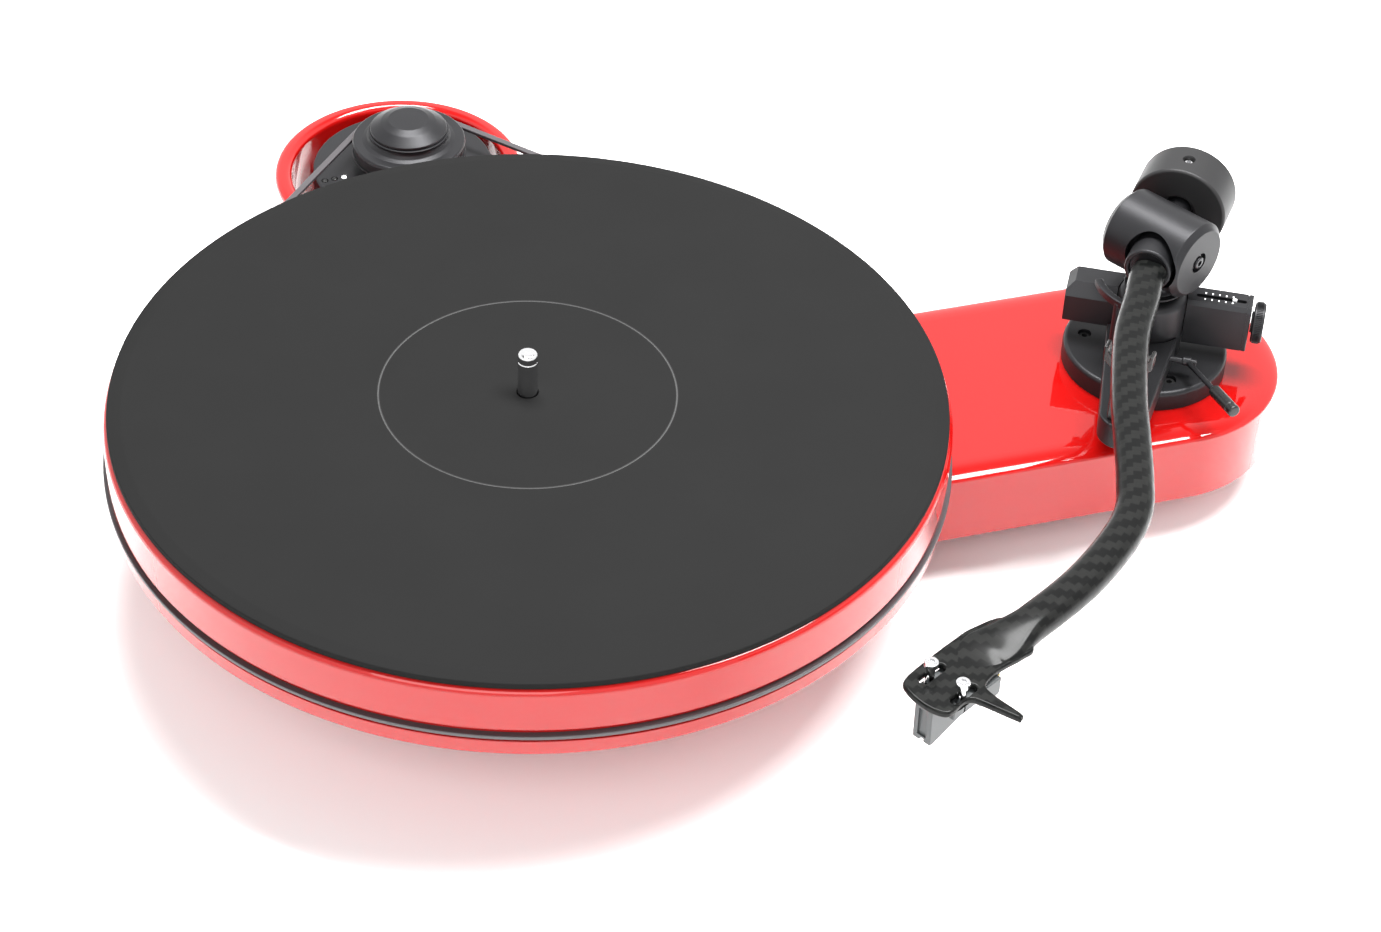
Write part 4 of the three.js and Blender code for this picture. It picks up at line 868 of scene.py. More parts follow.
def make_feet():
    for k in (1, 2, 3):
        foot = f"foot_{k}"
        place = standing(middle(foot))
        low = bottom(foot)
        high = top(foot)
        turned(foot, [
            (0, low), (15, low, 0.6), (FOOT_RADIUS, low + 4, 2), (FOOT_WAIST, low + 7, 1.5),
            (FOOT_WAIST, low + 8.4, 0.6), (FOOT_RADIUS, low + 9.2, 0.5), (FOOT_RADIUS, high, 0.5),
            (0, high),
        ], place, 96, "base", "moulded_black")
        turned(f"foot_pad_{k}", [
            (0, 0), (9, 0), (9, 0.5, 0.2), (10, 0.5, 0.2), (10, 0, 0.3), (FOOT_PAD_RADIUS, 0, 0.5),
            (FOOT_PAD_RADIUS, low, 0.3), (0, low),
        ], place, 96, "base", "rubber")


# ------------------------------------------------------------------ bearing, platter, mat, belt


def make_platter():
    groove_low = BELT_CENTRE - GROOVE_HEIGHT / 2
    groove_high = BELT_CENTRE + GROOVE_HEIGHT / 2
    groove = PLATTER_RADIUS - GROOVE_DEPTH
    pocket = HUB_FLANGE_RADIUS + GAP
    hub_top = PLATTER_BOTTOM + HUB_FLANGE_THICKNESS
    bore = BEARING_SHAFT_RADIUS + GAP
    turned("platter", [
        (pocket, PLATTER_BOTTOM, 0.4), (PLATTER_RADIUS, PLATTER_BOTTOM, 1.2),
        (PLATTER_RADIUS, groove_low, 0.35), (groove, groove_low, 0.35), (groove, groove_high, 0.35),
        (PLATTER_RADIUS, groove_high, 0.35), (PLATTER_RADIUS, PLATTER_TOP, PLATTER_ROUNDING),
        (bore, PLATTER_TOP), (bore, hub_top + GAP), (pocket, hub_top + GAP),
    ], AT_SPINDLE, 288, "turning_platter", "red_lacquer", loop=True)
    bore = SPINDLE_RADIUS + GAP
    turned("platter_mat", [
        (bore, PLATTER_TOP), (MAT_RADIUS, PLATTER_TOP, 0.2), (MAT_RADIUS, MAT_TOP - MAT_BEVEL_DROP, 0.6),
        (MAT_RADIUS - MAT_BEVEL, MAT_TOP, 6), (LABEL_RADIUS + 0.35, MAT_TOP, 0.1),
        (LABEL_RADIUS, MAT_TOP - 0.3, 0.1), (LABEL_RADIUS - 0.35, MAT_TOP, 0.1), (bore, MAT_TOP, 0.3),
    ], AT_SPINDLE, 288, "turning_platter", "mat_vinyl", loop=True)
    foot = bottom("record_spindle")
    tip = top("record_spindle")
    turned("record_spindle", [
        (0, foot), (BEARING_SHAFT_RADIUS, foot, 0.6), (BEARING_SHAFT_RADIUS, PLATTER_BOTTOM, 0.4),
        (HUB_FLANGE_RADIUS, PLATTER_BOTTOM, 0.4), (HUB_FLANGE_RADIUS, hub_top, 0.4),
        (BEARING_SHAFT_RADIUS, hub_top, 0.4), (BEARING_SHAFT_RADIUS, PLATTER_TOP - 1, 0.3),
        (SPINDLE_RADIUS, PLATTER_TOP - 1), (SPINDLE_RADIUS, MAT_TOP + 13.6, 0.2),
        (SPINDLE_RADIUS - 0.25, MAT_TOP + 14, 0.2), (SPINDLE_RADIUS, MAT_TOP + 14.4, 0.2),
        (SPINDLE_RADIUS, tip, 2.6), (0, tip),
    ], AT_SPINDLE, 96, "turning_platter", "bright_steel", steps=8)


def make_bearing():
    low = bottom("main_bearing_housing")
    high = top("main_bearing_housing")
    bore = BEARING_SHAFT_RADIUS + 0.15
    turned("main_bearing_housing", [
        (0, low), (BEARING_RADIUS, low, 1), (BEARING_RADIUS, PLINTH_TOP, 0.3),
        (BEARING_FLANGE_RADIUS, PLINTH_TOP, 0.3), (BEARING_FLANGE_RADIUS, high, 0.6),
        (bore, high, 0.4), (bore, low + 3), (0, low + 3),
    ], AT_SPINDLE, 72, "base", "brass")


def make_belt():
    """The belt runs in the platter's groove and on the pulley's large step."""
    inside = (PLATTER_RADIUS - GROOVE_DEPTH + GAP, LARGE_STEP_RADIUS + GAP)
    big, small = (r + BELT_THICKNESS / 2 for r in inside)
    dx = MOTOR.x - SPINDLE.x
    dy = MOTOR.y - SPINDLE.y
    heading = math.degrees(math.atan2(dy, dx))
    contact = math.degrees(math.acos((big - small) / math.hypot(dx, dy)))
    path = [
        *arc((0, 0), big, heading + contact, heading - contact + 360, 1.5),
        *arc((dx, dy), small, heading - contact, heading + contact, 4),
    ]
    mesh = bpy.data.meshes.new("belt_path")
    corners = [((SPINDLE.x + x) * MM, (SPINDLE.y + y) * MM, BELT_CENTRE * MM) for x, y in path]
    count = len(corners)
    mesh.from_pydata(corners, [(k, (k + 1) % count) for k in range(count)], [])
    belt = linked("drive_belt_fine", mesh)
    modifier = belt.modifiers.new("belt", "NODES")
    modifier.node_group = belt_group()
    set_inputs(modifier, {
        "Thickness": BELT_THICKNESS * MM, "Height": BELT_HEIGHT * MM, "Rounding": 0.35 * MM,
        "Finish": LOOKS["belt_rubber"],
    })
    settled(belt)
    faced_out(belt.data)
    finished(belt, "base", ["drive_belt"])


# ------------------------------------------------------------------ motor


def make_motor():
    at_housing = standing(HOUSING)
    at_motor = standing(MOTOR)
    low = bottom("motor_housing")
    inner = HOUSING_RADIUS - HOUSING_WALL
    shell = [
        (0, HOUSING_TOP), (HOUSING_RADIUS, HOUSING_TOP, 0.9), (HOUSING_RADIUS, low, 0.4), (inner, low, 0.2),
        (inner, HOUSING_TOP - HOUSING_WALL, 1), (0, HOUSING_TOP - HOUSING_WALL),
    ]
    holes = [rod(2.5, 30, HOUSING_TOP + 5, at_motor, 40)]
    for k in (1, 2, 3):
        place = standing(middle(f"speed_lamp_{k}"))
        holes.append(rod(LAMP_RADIUS + GAP, HOUSING_TOP - 1.7, HOUSING_TOP + 4, place, 32, 0.1))
    button = middle("speed_button")
    holes.append(rod(BUTTON_RADIUS + GAP, 40, HOUSING_TOP + 5, standing(button), 48))
    inlet = middle("power_inlet")
    rear = facing_back(inlet.x, 0, inlet.z)
    inlet_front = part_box("power_inlet")[0][1] / MM
    inlet_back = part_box("power_inlet")[1][1] / MM
    holes.append(rod(INLET_RADIUS + GAP, inlet_front - 4, inlet_back + 6, rear, 48))
    turned("motor_housing", shell, at_housing, 144, "base", "black_anodised",
           cuts=holes, bevel=0.12, angle=60)
    for k in (1, 2, 3):
        lamp = f"speed_lamp_{k}"
        turned(lamp, [
            (0, bottom(lamp)), (LAMP_RADIUS, bottom(lamp)), (LAMP_RADIUS, top(lamp), 0.8), (0, top(lamp)),
        ], standing(middle(lamp)), 32, "base", "lamp_white" if k == 3 else "moulded_black")
    foot = bottom("speed_button")
    face = top("speed_button")
    turned("speed_button", [
        (0, foot), (BUTTON_RADIUS, foot, 0.2), (BUTTON_RADIUS, face, 0.7), (2.6, face - 0.25, 1.2),
        (0, face - 0.45),
    ], standing(button), 64, "button", "moulded_black")
    floor = top("motor_base")
    disc = [(0, low), (inner - GAP, low, 0.4), (inner - GAP, floor, 0.4), (0, floor)]
    spots = [at_housing @ turned_by(30 * k) @ standing((14, 0)) for k in range(12)]
    vents = [rod(1.6, low - 2, floor + 2, spot, 24) for spot in spots]
    turned("motor_base", disc, at_housing, 96, "base", "black_anodised", cuts=vents)
    for k in (1, 2, 3):
        foot = f"motor_foot_{k}"
        bumper = [(0, 0), (4.2, 0, 0.8), (5, top(foot), 0.3), (0, top(foot))]
        turned(foot, bumper, standing(middle(foot)), 48, "base", "rubber")
    turned("power_inlet", [
        (0, inlet_front), (INLET_RADIUS, inlet_front), (INLET_RADIUS, inlet_back, 0.4),
        (2.8, inlet_back, 0.3), (2.8, inlet_front + 2), (0.9, inlet_front + 2),
        (0.9, inlet_back - 1.4, 0.5), (0, inlet_back - 1.2),
    ], rear, 64, "base", "moulded_black")
    can_low = bottom("motor_can")
    can_high = top("motor_can")
    turned("motor_can", [
        (0, can_low), (19, can_low, 1), (19, can_high - 3, 0.4), (18, can_high - 3, 0.4), (18, can_high, 1),
        (SHAFT_BORE, can_high, 0.2), (SHAFT_BORE, can_high - 12), (0, can_high - 12),
    ], at_motor, 72, "base", "bright_steel")


def make_pulley():
    at_motor = standing(MOTOR)
    low = bottom("motor_pulley")
    high = top("motor_pulley")
    step_low = BELT_CENTRE - BELT_STEP / 2
    step_high = BELT_CENTRE + BELT_STEP / 2
    flange_top = step_high + 1.6
    turned("motor_pulley", [
        (SHAFT_BORE, low), (STEP_FLANGE_RADIUS, low, 0.4), (STEP_FLANGE_RADIUS, step_low, 0.25),
        (LARGE_STEP_RADIUS, step_low, 0.2), (LARGE_STEP_RADIUS, step_high, 0.2),
        (STEP_FLANGE_RADIUS, step_high, 0.3), (STEP_FLANGE_RADIUS - 0.5, flange_top, 0.9),
        (SMALL_STEP_RADIUS + 2.2, flange_top, 1.2), (SMALL_STEP_RADIUS + 0.5, flange_top + 0.8, 1.2),
        (SMALL_STEP_RADIUS - 0.6, high - 1.6, 1.8), (SMALL_STEP_RADIUS - 0.2, high, 0.3),
        (SHAFT_BORE, high),
    ], at_motor, 144, "pulley", "black_anodised", loop=True, steps=7)
    low = bottom("pulley_cap")
    high = top("pulley_cap")
    turned("pulley_cap", [
        (0, low), (CAP_RADIUS, low, 0.3), (CAP_RADIUS, low + 1.1, 0.5), (CAP_RADIUS - 1.1, low + 1.8, 1.0),
        (CAP_TOP_RADIUS + 3, high - 1.2, 5), (CAP_TOP_RADIUS, high, 1.2), (0, high),
    ], at_motor, 144, "pulley", "black_anodised", steps=8)
    shaft = pin(MOTOR_SHAFT_RADIUS, bottom("motor_shaft"), top("motor_shaft"), 0.3)
    turned("motor_shaft", shaft, at_motor, 40, "pulley", "bright_steel")


# ------------------------------------------------------------------ tonearm base and blocks


def make_arm_base():
    sleeve_low = bottom("arm_base")
    bore = STEM_RADIUS + 0.2
    flange = [
        (SLEEVE_RADIUS, sleeve_low, 0.6), (SLEEVE_RADIUS, PLINTH_TOP, 0.3),
        (ARM_BASE_RADIUS, PLINTH_TOP, 0.2), (ARM_BASE_RADIUS, BASE_TOP, 1.7),
        (bore, BASE_TOP, 0.3), (bore, sleeve_low, 0.3),
    ]
    screws = [f"arm_base_screw_{k}" for k in (1, 2, 3)]
    pockets = [rod(2.5, BASE_TOP - 5, BASE_TOP + 4, standing(middle(name)), 48, 0.1) for name in screws]
    turned("arm_base", flange, AT_PIVOT, 144, "base", "black_anodised",
           cuts=pockets, bevel=0.15, angle=60, loop=True, steps=7)
    for name in screws:
        low = bottom(name)
        high = top(name)
        place = standing(middle(name))
        turned(name, [(0, low), (2.2, low), (2.2, high, 0.35), (0, high)], place, 48, "base", "black_steel",
               cuts=[key_hole(1.15, high - 1.6, place)])
    stem_low = bottom("arm_pillar")
    turned("arm_pillar", [
        (STEM_RADIUS, stem_low, 0.4), (STEM_RADIUS, BASE_TOP, 0.2), (PILLAR_RADIUS, BASE_TOP, 0.2),
        (PILLAR_RADIUS, PILLAR_TOP, 3.2), (PILLAR_BORE, PILLAR_TOP, 0.3), (PILLAR_BORE, stem_low, 0.3),
    ], AT_PIVOT, 120, "pillar", "black_anodised", loop=True, steps=8)


def block_plan(reach, width, corner):
    """Plan of a block that starts on the pillar's side and runs out along the beam."""
    side = 1 if reach > 0 else -1
    low = BEAM_OFFSET - width / 2
    high = BEAM_OFFSET + width / 2
    clear = PILLAR_RADIUS + GAP
    start = math.degrees(math.asin(high / clear))
    end = math.degrees(math.asin(low / clear))
    root = [(side * x, y) for x, y in arc((0, 0), clear, start, end, 6)]
    return root + soften([root[-1], (reach, low, corner), (reach, high, corner), root[0]])[1:-1]


def mitre(size, place, degrees, axis):
    """A tilted box that cuts a slope on a block's edge."""
    return Solid().box(size, (0, 0, 0), AT_BEAM @ Matrix.Translation(place)
                       @ Matrix.Rotation(math.radians(degrees), 4, axis))


def make_blocks():
    low = bottom("support_block")
    high = top("support_block")
    slope = mitre((120, 7, 7), (0, BEAM_OFFSET - LEFT_WIDTH / 2, high), 52, "X")
    end = mitre((4.2, 60, 4.2), (-LEFT_REACH, BEAM_OFFSET, high), 45, "Y")
    piece("support_block", Solid().plate(block_plan(-LEFT_REACH, LEFT_WIDTH, 0.5), low, high, AT_BEAM),
          "pillar", "black_anodised", cuts=[slope, end], bevel=0.35)
    low = bottom("antiskate_housing")
    high = top("antiskate_housing")
    slot = [
        *arc((SLOT_START + SLOT_WIDTH / 2, BEAM_OFFSET), SLOT_WIDTH / 2, 90, 270, 15),
        *arc((SLOT_START + SLOT_LENGTH - SLOT_WIDTH / 2, BEAM_OFFSET), SLOT_WIDTH / 2, -90, 90, 15),
    ]
    seam = RIGHT_REACH - 1.8
    aside = RIGHT_WIDTH / 2 + SEAM_CUTTER / 2 - SEAM_DEPTH
    above = SEAM_CUTTER / 2 - SEAM_DEPTH
    seams = [Solid().box((SEAM_WIDTH, SEAM_CUTTER, SEAM_CUTTER), (seam, BEAM_OFFSET + across, up),
                         AT_BEAM @ standing((0, 0), high))
             for across, up in ((aside, 0), (-aside, 0), (0, above))]
    chamfer = mitre((120, 2, 2), (0, BEAM_OFFSET - RIGHT_WIDTH / 2, high), 45, "X")
    piece("antiskate_housing", Solid().plate(block_plan(RIGHT_REACH, RIGHT_WIDTH, 0.5), low, high, AT_BEAM),
          "pillar", "black_anodised",
          cuts=[Solid().plate(slot, high - 3, high + 3, AT_BEAM), chamfer, *seams], bevel=0.2)
    mark = bottom("antiskate_pointer")
    tip = top("antiskate_pointer")
    place = AT_BEAM.inverted() @ middle("antiskate_pointer")
    outline = soften([(-0.8, -0.6, 0.2), (0.8, -0.6, 0.2), (0.8, 0.6, 0.2), (-0.8, 0.6, 0.2)])
    pointer = Solid().plate(outline, mark, tip, AT_BEAM @ standing((place.x, BEAM_OFFSET)), 0.15)
    piece("antiskate_pointer", pointer, "pointer", "scale_white")
    for side, name in ((1, "scale_marks_rear"), (-1, "scale_marks_front")):
        tick = Solid().plate(soften([(-0.22, 0), (0.22, 0), (0.3, 0.9, 0.1), (-0.3, 0.9, 0.1)]), 0, 0.06)
        start = AT_BEAM @ Matrix.Translation((SLOT_START + 3.4, BEAM_OFFSET + side * 1.35, high - 0.01))
        if side < 0:
            start = start @ Matrix.Rotation(math.pi, 4, "X") @ Matrix.Translation((0, 0, -0.06))
        row = repeat_group(f"row_of_{name}", False)
        marks = repeated(name, tick, row, {"Count": 5, "Size": TICK_SPACING * MM}, "scale_white", start)
        finished(marks, "pillar", None)


def make_knob():
    """A knurled knob on a neck, at the end of the beam."""
    centre = AT_BEAM.inverted() @ middle("antiskate_knob")
    start = RIGHT_REACH + GAP
    face = start + KNOB_NECK
    end = face + KNOB_LENGTH
    place = AT_BEAM @ aimed(0, 0, (0, BEAM_OFFSET, centre.z))
    turned("antiskate_knob", [
        (0, start), (4, start, 0.2), (4, face, 0.3), (KNOB_RADIUS - 0.35, face, 0.5),
        (KNOB_RADIUS - 0.35, end, 0.7), (KNOB_RADIUS - 1.6, end, 0.3), (KNOB_RADIUS - 2, end - 0.4, 0.3),
        (0, end - 0.4),
    ], place, 120, "knob", "black_anodised")
    ridge = [(KNOB_RADIUS - 0.6, -0.2), (KNOB_RADIUS - 0.02, -0.06), (KNOB_RADIUS - 0.02, 0.06),
             (KNOB_RADIUS - 0.6, 0.2)]
    ridges = repeated("knob_knurl", Solid().plate(ridge, face + 0.7, end - 0.9),
                      repeat_group("ring_of_ridges", True), {"Count": 72}, "black_anodised", place)
    finished(ridges, "knob", None)


# ------------------------------------------------------------------ rest, lift and cue lever


def make_rest():
    high = top("arm_rest_bracket")
    clear = PILLAR_RADIUS + GAP
    outline = [
        *arc((0, 0), clear, -58, -190, 6),
        (-15, 3.2),
        *arc(TONGUE_TIP, TONGUE_TIP_RADIUS, -206, -12, 5),
    ]
    post = AT_PIVOT.inverted() @ Vector((*middle_of_post(), 0))
    hole = rod(1.75, BASE_TOP + 1, high + 5, AT_PIVOT @ standing(post), 32, 0.1)
    axle = AT_PIVOT @ aimed(BEAM_ANGLE, 0, (*CUE_START, middle("cue_axle").z))
    bore = rod(1.3, -1, 30, axle, 32, 0.1)
    piece("arm_rest_bracket", Solid().plate(outline, BASE_TOP, high, AT_PIVOT, 0.7), "pillar",
          "black_anodised", cuts=[hole, bore])
    low = bottom("arm_rest_clip")
    reach = top("arm_rest_clip") - low
    prong = reach + 2.6
    half = [
        (4.4, 0, 0.6), (4.4, reach - 7, 3), (8.8, reach - 3, 1.5), (8.8, prong, 0.7), (7.5, prong, 0.6),
        (7.2, reach + 0.8, 1.5), (4.6, reach - 2.4, 2),
    ]
    cradle = soften([*half, *[(-x, y, radius) for x, y, radius in reversed(half)]])
    upright = (AT_PIVOT @ turned_by(ARM_LINE_ANGLE) @ Matrix.Translation((REST_DISTANCE, REST_ASIDE, low))
               @ turned_by(90) @ Matrix.Rotation(math.pi / 2, 4, "X"))
    piece("arm_rest_clip", Solid().plate(cradle, -2.5, 2.5, upright, 0.5), "pillar", "moulded_black")


def middle_of_post():
    """The lift bar's post stands in the middle of the bar's width."""
    radius = (LIFT_OUTER + LIFT_INNER) / 2
    a = math.radians(-152)
    return PIVOT.x + radius * math.cos(a), PIVOT.y + radius * math.sin(a)


def make_lift():
    high = top("lift_bar")
    low = bottom("lift_bar")
    bar = [*arc((0, 0), LIFT_OUTER, -191, -112, 3), *arc((0, 0), LIFT_INNER, -112, -191, 3)]
    solid = Solid().plate(bar, high - 3, high, AT_PIVOT, 0.45)
    solid.turn(pin(1.6, low, high - 1.5), standing(middle_of_post()), 40)
    piece("lift_bar", solid, "lift", "black_anodised")


def make_cue():
    height = middle("cue_axle").z
    start = Vector((*CUE_START, height))
    axle = AT_PIVOT @ aimed(BEAM_ANGLE, 0, start)
    length = 13.6
    near = CUE_LEVER_PLACE - 1.6
    far = CUE_LEVER_PLACE + 1.6
    turned("cue_axle", [
        (0, 0), (1.15, 0, 0.2), (1.15, near, 0.1), (1.75, near, 0.3), (1.75, far, 0.3), (1.15, far, 0.1),
        (1.15, length, 0.4), (0, length),
    ], axle, 48, "cue", "black_anodised")
    heading = math.radians(BEAM_ANGLE)
    root = start + Vector((math.cos(heading), math.sin(heading), 0)) * CUE_LEVER_PLACE
    lever = AT_PIVOT @ aimed(CUE_HEADING, CUE_RISE, root)
    piece("cue_lever", rod(1.0, 1.2, 19.5, lever, 32), "cue", "black_anodised")
    turned("cue_handle", [
        (0, 19), (1.5, 19, 0.3), (2.3, 19.8, 0.5), (2.3, 30.6, 0.2), (2.1, 30.9, 0.1), (2.1, 31.3, 0.1),
        (2.3, 31.6, 0.2), (2.3, 34, 0.7), (0, 34),
    ], lever, 64, "cue", "moulded_black")


# ------------------------------------------------------------------ gimbal and arm


def make_gimbal():
    at_axis = standing(PIVOT, ARM_AXIS)
    along = at_axis @ aimed(GIMBAL_ANGLE, 0)
    half = GIMBAL_HALF
    face = GIMBAL_RADIUS - GIMBAL_CHAMFER
    barrel = soften([
        (0, -half), (face, -half, 0.5), (GIMBAL_RADIUS, GIMBAL_CHAMFER - half, 0.7),
        (GIMBAL_RADIUS, half - GIMBAL_CHAMFER, 0.7), (face, half, 0.5), (0, half),
    ], 5)
    skirt_low = top("yoke_shaft")
    neck_top = ARM_AXIS - GIMBAL_RADIUS + 2.5
    neck = soften([
        (0, skirt_low), (10, skirt_low, 0.4), (8.2, skirt_low + 1.6, 1.6), (8, neck_top), (0, neck_top),
    ])
    cavity = rod(11.5, -13, 13, along, 96, 0.2)
    front = Solid().plate(circle((-1.0, 0), 10.2, 72), 0, 30, at_axis @ aimed(ARM_LINE_ANGLE, 0))
    rear = Solid().plate(circle((1.4, 0), 9.2, 72), -30, 0.1, at_axis @ aimed(ARM_LINE_ANGLE, 0))
    tunnel = rod(3.9, -half - 5, half + 5, along, 64)
    turned("gimbal_housing", barrel, along, 144, "yoke", "black_anodised",
           joins=[Solid().turn(neck, AT_PIVOT, 96)], cuts=[cavity, front, rear, tunnel], bevel=0.3, angle=50)
    low = bottom("yoke_shaft")
    high = top("yoke_shaft")
    turned("yoke_shaft", [
        (0, low), (4, low, 0.4), (4, PILLAR_TOP + 1, 0.2), (9.6, PILLAR_TOP + 1, 0.8),
        (11, high - 0.6, 0.5), (11, high, 0.3), (0, high),
    ], AT_PIVOT, 96, "yoke", "black_anodised")
    for name, sign in (("pivot_screw_front", 1), ("pivot_screw_rear", -1)):
        out = half + 0.4
        place = along if sign > 0 else along @ Matrix.Rotation(math.pi, 4, "X")
        screw = [
            (0, 9.3), (1.2, 10.5, 0.2), (3.4, 13, 0.3), (3.4, out - 1.4, 0.3), (2.3, out - 1.2, 0.3),
            (2.3, out, 0.5), (0, out),
        ]
        slot = key_hole(1.2, out - 1.3, place)
        turned(name, screw, place, 64, "yoke", "black_steel", cuts=[slot], look="gloss_black_steel")


def make_arm_hub():
    along = standing(PIVOT, ARM_AXIS) @ aimed(GIMBAL_ANGLE, 0)
    lengthwise = AT_ARM @ aimed(0, 0)
    solid = rod(8, -9, 9, along, 96, 0.5)
    solid.turn(soften([
        (0, 0), (8.4, 0), (8.4, 9, 0.6), (COLLAR_RADIUS, 10.5, 0.6), (COLLAR_RADIUS, COLLAR_FRONT, 0.9),
        (6.9, COLLAR_FRONT, 0.6), (6.7, COLLAR_FRONT - 1.2), (0, COLLAR_FRONT - 1.2),
    ]), lengthwise, 96)
    solid.turn(soften([
        (0, -50), (4.6, -50, 0.7), (4.6, -17, 1), (6.4, -13.4, 1.5), (7.6, 0), (0, 0),
    ]), lengthwise, 96)
    piece("arm_hub", solid, "arm", "black_anodised")


def tube_section(width, height_up, height_down, count, power):
    """A rounded section, squarer as its power rises above 2, as (right, up) points."""
    points = []
    for k in range(count):
        a = 2 * math.pi * k / count
        c = math.cos(a)
        s = math.sin(a)
        right = math.copysign(abs(c) ** (2 / power), c) * width / 2
        up = math.copysign(abs(s) ** (2 / power), s) * (height_up if s > 0 else height_down)
        points.append((right, up))
    return points


def eased(x, start, end):
    t = min(max((x - start) / (end - start), 0.0), 1.0)
    return t * t * (3 - 2 * t)


def make_arm_tube():
    """One moulding: the bent tube flattens into the plate that holds the cartridge."""
    ahead = Matrix.Rotation(math.radians(SHELL_ANGLE), 2)
    nose = [Vector(SHELL_PLACE) + ahead @ Vector((x, y)) for x, y in ((-21, -2.1), (-11, -2.2))]
    line = curve_through([*TUBE_LINE, *[tuple(p) for p in nose]], 10, closed=False)
    rings = []
    uvs = []
    travelled = 0.0
    for k, (x, y) in enumerate(line):
        before = line[max(k - 1, 0)]
        after = line[min(k + 1, len(line) - 1)]
        heading = Vector((after[0] - before[0], after[1] - before[1])).normalized()
        travelled += math.hypot(x - before[0], y - before[1])
        ease = eased(x, *FLATTENS)
        widen = eased(x, *WIDENS)
        tall = TUBE_HEIGHT / 2
        flat = SHELL_THICKNESS / 2 - 0.12
        up = tall + (flat - tall) * ease
        down = tall + (flat - tall) * min(1.0, 1.6 * ease)
        wide = TUBE_WIDTH + (SHELL_NECK_WIDTH - TUBE_WIDTH) * widen
        drop = -TUBE_DROP * min(x / SHELL_PLACE[0], 1.0)
        section = tube_section(wide, up, down, 56, 2.35)
        ring = [(x - heading.y * r, y + heading.x * r, drop + z) for r, z in section]
        rings.append(ring)
        for j in range(len(section)):
            around = (j / len(section) - 0.5) * 2 * math.pi * WRAP_RADIUS
            uvs.append((travelled / TOW, abs(around) / TOW))
    solid = Solid().loft(rings, AT_ARM, uvs)
    slots = []
    for side in (-1, 1):
        y = side * SCREW_SPACING / 2
        slots.append([*arc((-4.9, y), 1.6, 90, 270, 15), *arc((2.9, y), 1.6, -90, 90, 15)])
    outline = curve_through(SHELL_OUTLINE, 6)
    solid.plate(outline, 0, SHELL_THICKNESS, AT_SHELL, 0.85, slots, 5, TOW)
    piece("arm_tube", solid, "arm", "carbon_fibre")


def make_cartridge():
    """A wide body under the plate, and a narrow stylus unit with two front ribs and a sloping underside."""
    upright = AT_SHELL @ Matrix.Rotation(math.pi / 2, 4, "X")
    half = CARTRIDGE_WIDTH / 2 - 0.3
    side = soften([
        (-18, -GAP, 0.8), (-18, -7.4, 1.2), (-9, -7.8, 1.2), (-6.5, -4.2, 1), (5.2, -4.2, 0.9),
        (5.2, -GAP, 0.8),
    ])
    threads = [rod(1.8, -3.8, 4, AT_SHELL @ standing((0, s * SCREW_SPACING / 2)), 32, 0.1)
               for s in (-1, 1)]
    piece("cartridge_body", Solid().plate(side, -half, half, upright, 0.5), "arm", "cartridge_grey",
          cuts=threads)
    pins = Solid()
    for y in (-4.5, -1.5, 1.5, 4.5):
        pins.turn(pin(0.55, 0, 4, 0.15), AT_SHELL @ aimed(180, 0, (-17.5, y, -4)), 20)
    finished(object_of("cartridge_pins", pins, "brass"), "arm", None)
    profile = soften([
        (5.6, -GAP, 0.6), (5.6, -4.6, 0.6), (-7, -4.6, 0.6), (-7, -11.4, 0.8), (8.2, -15.2, 0.9),
        (9.9, -14.9, 0.7), (10.3, -GAP, 0.6),
    ])
    recess = Solid().plate([(9.2, -1.4), (14, -1.4), (14, -12.6), (9.2, -12.6)], -1.7, 1.7, upright)
    notch = Solid().plate([(7.4, -13.4), (14, -13.4), (14, -18), (7.4, -18)], -0.9, 0.9, upright)
    piece("stylus_holder", Solid().plate(profile, -3.5, 3.5, upright, 0.45), "arm", "cartridge_grey",
          cuts=[recess, notch], bevel=0.12, angle=50)
    slope = AT_SHELL @ aimed(0, -18, (2.2, 0, -14.0))
    needle = soften([(0, 0), (0.35, 0, 0.1), (0.28, 5.4, 0.1), (0, 5.4)])
    solid = Solid().turn(needle, slope, 24)
    tip = soften([(0, -0.7), (0.14, -0.15), (0.14, 0.1), (0, 0.1)])
    solid.turn(tip, AT_SHELL @ standing((7.2, 0), -15.7), 12)
    piece("cantilever", solid, "arm", "bright_steel")
    for k, sign in ((1, -1), (2, 1)):
        place = AT_SHELL @ standing((0, sign * SCREW_SPACING / 2))
        head = 8.5
        screw = soften([
            (0, -3.5), (1.5, -3.5, 0.3), (1.5, head - 2.2, 0.1),
            (2.3, head - 2.2, 0.2), (2.3, head, 0.45), (0, head),
        ])
        hexagon = key_hole(1.15, head - 1.4, place)
        turned(f"cartridge_screw_{k}", screw, place, 64, "arm", "bright_steel", cuts=[hexagon])


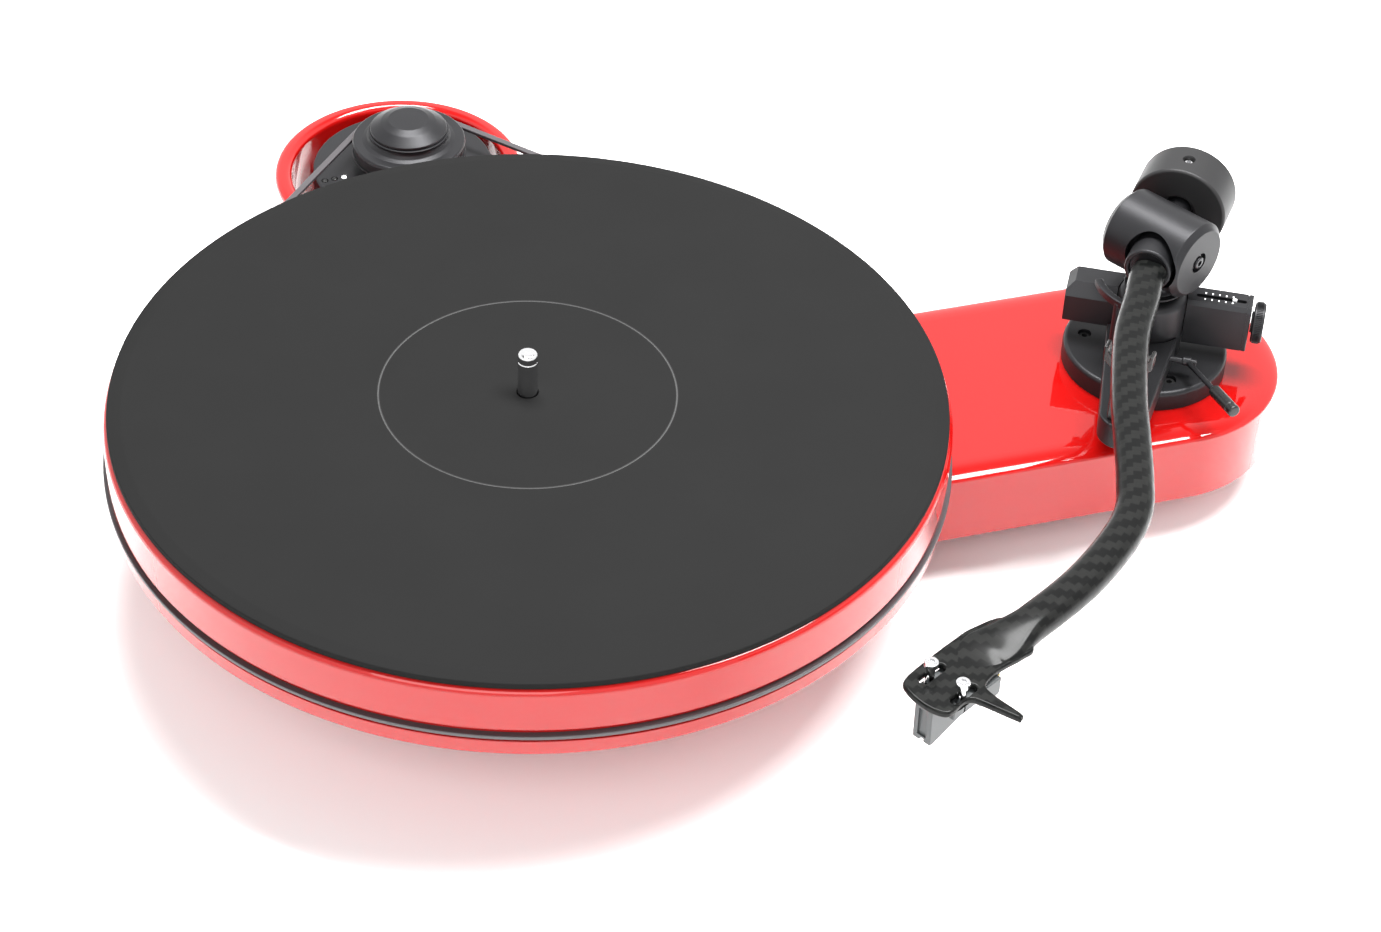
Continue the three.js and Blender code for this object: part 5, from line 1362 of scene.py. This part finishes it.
def make_weight():
    """A turned steel drum on the arm's tail, locked by a screw from above."""
    lengthwise = AT_ARM @ aimed(0, 0)
    front = -21.4
    back = front - 17.4
    bore = 4.8
    drum = soften([
        (bore, back, 0.3), (WEIGHT_RADIUS, back, 1.1), (WEIGHT_RADIUS, front, 1.1), (6.6, front, 0.3),
        (5.6, front - 2.2, 0.6), (bore, front - 2.4),
    ])
    at_screw = AT_ARM @ standing(((front + back) / 2, 0))
    hole = soften([(0, WEIGHT_RADIUS - 9.5), (1.8, WEIGHT_RADIUS - 9.5), (1.8, WEIGHT_RADIUS - 0.9),
                   (2.6, WEIGHT_RADIUS + 0.2), (2.6, WEIGHT_RADIUS + 4), (0, WEIGHT_RADIUS + 4)])
    turned("counterweight", drum, lengthwise, 160, "weight", "black_steel",
          cuts=[Solid().turn(hole, at_screw, 40)], loop=True)
    high = WEIGHT_RADIUS - 1.2
    screw = soften([(0, high - 8), (1.5, high - 8), (1.5, high, 0.25), (0, high)])
    hexagon = key_hole(0.9, high - 1.5, at_screw)
    turned("counterweight_set_screw", screw, at_screw, 40, "weight", "bright_steel", cuts=[hexagon])


# ------------------------------------------------------------------ sockets under the arm board


def make_sockets():
    low, high = (Vector(c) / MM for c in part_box("socket_box"))
    inset = 0.8
    outline = soften([
        (low.x, low.y, 1.5), (high.x, low.y, 1.5), (high.x, high.y, inset), (low.x, high.y, inset),
    ])
    piece("socket_box", Solid().plate(outline, low.z, high.z, Matrix(), 0.6), "base", "moulded_black")
    height = (low.z + high.z) / 2
    for name in ("signal_socket_left", "signal_socket_right"):
        place = facing_back(middle(name).x, high.y, height)
        turned(name, [
            (0, 0), (5.2, 0), (5.2, 1.5, 0.3), (4.2, 1.5, 0.2), (4.2, 9, 0.4), (3.4, 9, 0.2),
            (3.4, 8.4, 0.1), (1.7, 8.4, 0.2), (1.7, 2), (0, 2),
        ], place, 64, "base", "brass")
    place = facing_back(middle("ground_terminal").x, high.y, height)
    nut = [(0, 0), (2, 0), (2, 2, 0.2), (3, 2, 0.4), (3, 7, 0.5), (0, 7)]
    turned("ground_terminal", nut, place, 48, "base", "bright_steel")


# ------------------------------------------------------------------ stage, light and camera


def make_stage():
    floor_mesh = bpy.data.meshes.new("floor")
    size = 6.0
    floor_mesh.from_pydata([(-size, -size, 0), (size, -size, 0), (size, size, 0), (-size, size, 0)], [],
                           [(0, 1, 2, 3)])
    floor = linked("floor", floor_mesh)
    look = Look("pale_floor", {"Base Color": grey(0.93), "Roughness": 0.7, "Specular IOR Level": 0.1})
    floor_mesh.materials.append(look.material)
    world = bpy.data.worlds.new("studio")
    world.use_nodes = True
    sky = Tree(world.node_tree)
    ways = sky.node("ShaderNodeTexCoord").outputs["Generated"]
    height = sky.node("ShaderNodeSeparateXYZ", {}, {0: ways}).outputs[2]
    level = sky.value("ShaderNodeMapRange", {"interpolation_type": "SMOOTHSTEP"}, {
        "Value": height, "From Min": 0.66, "From Max": 0.88, "To Min": 1.3, "To Max": 0.3,
    })
    backdrop = world.node_tree.nodes["Background"]
    backdrop.inputs["Color"].default_value = (1, 1, 1, 1)
    sky.feed(backdrop.inputs["Strength"], level)
    bpy.context.scene.world = world


def softbox(name, place, aim_at, size, watts):
    light = bpy.data.lights.new(name, "AREA")
    light.shape = "RECTANGLE"
    light.size, light.size_y = size
    light.energy = watts
    lamp = linked(name, light)
    lamp.location = place
    lamp.rotation_euler = (Vector(aim_at) - Vector(place)).to_track_quat("-Z", "Y").to_euler()


def make_camera():
    camera = bpy.data.cameras.new("camera")
    camera.sensor_width = 36
    camera.lens = 85.79
    camera.shift_x = 0.1372
    holder = linked("camera", camera)
    holder.location = Vector((SPINDLE.x - 237.81, SPINDLE.y - 875.70, MAT_TOP + 727.76)) * MM
    holder.rotation_euler = (math.radians(49.97), 0, math.radians(-14.6))
    bpy.context.scene.camera = holder
    bpy.context.scene.view_settings.view_transform = "Standard"
    bpy.context.scene.view_settings.look = "None"


for make in (
    make_plinth, make_feet, make_bearing, make_platter, make_belt, make_motor, make_pulley,
    make_arm_base, make_blocks, make_knob, make_rest, make_lift, make_cue, make_gimbal,
    make_arm_hub, make_arm_tube, make_cartridge, make_weight, make_sockets,
):
    make()
frame["nodes"]["bearing_ball"].data.materials.clear()
frame["nodes"]["bearing_ball"].data.materials.append(LOOKS["bright_steel"])

make_stage()
softbox("overhead", (0.25, 0.14, 1.35), (0.1, -0.02, 0.05), (1.3, 0.46), 62)
softbox("front_fill", (-0.9, -1.5, 1.5), (0, -0.1, 0), (1.6, 1.2), 20)
make_camera()
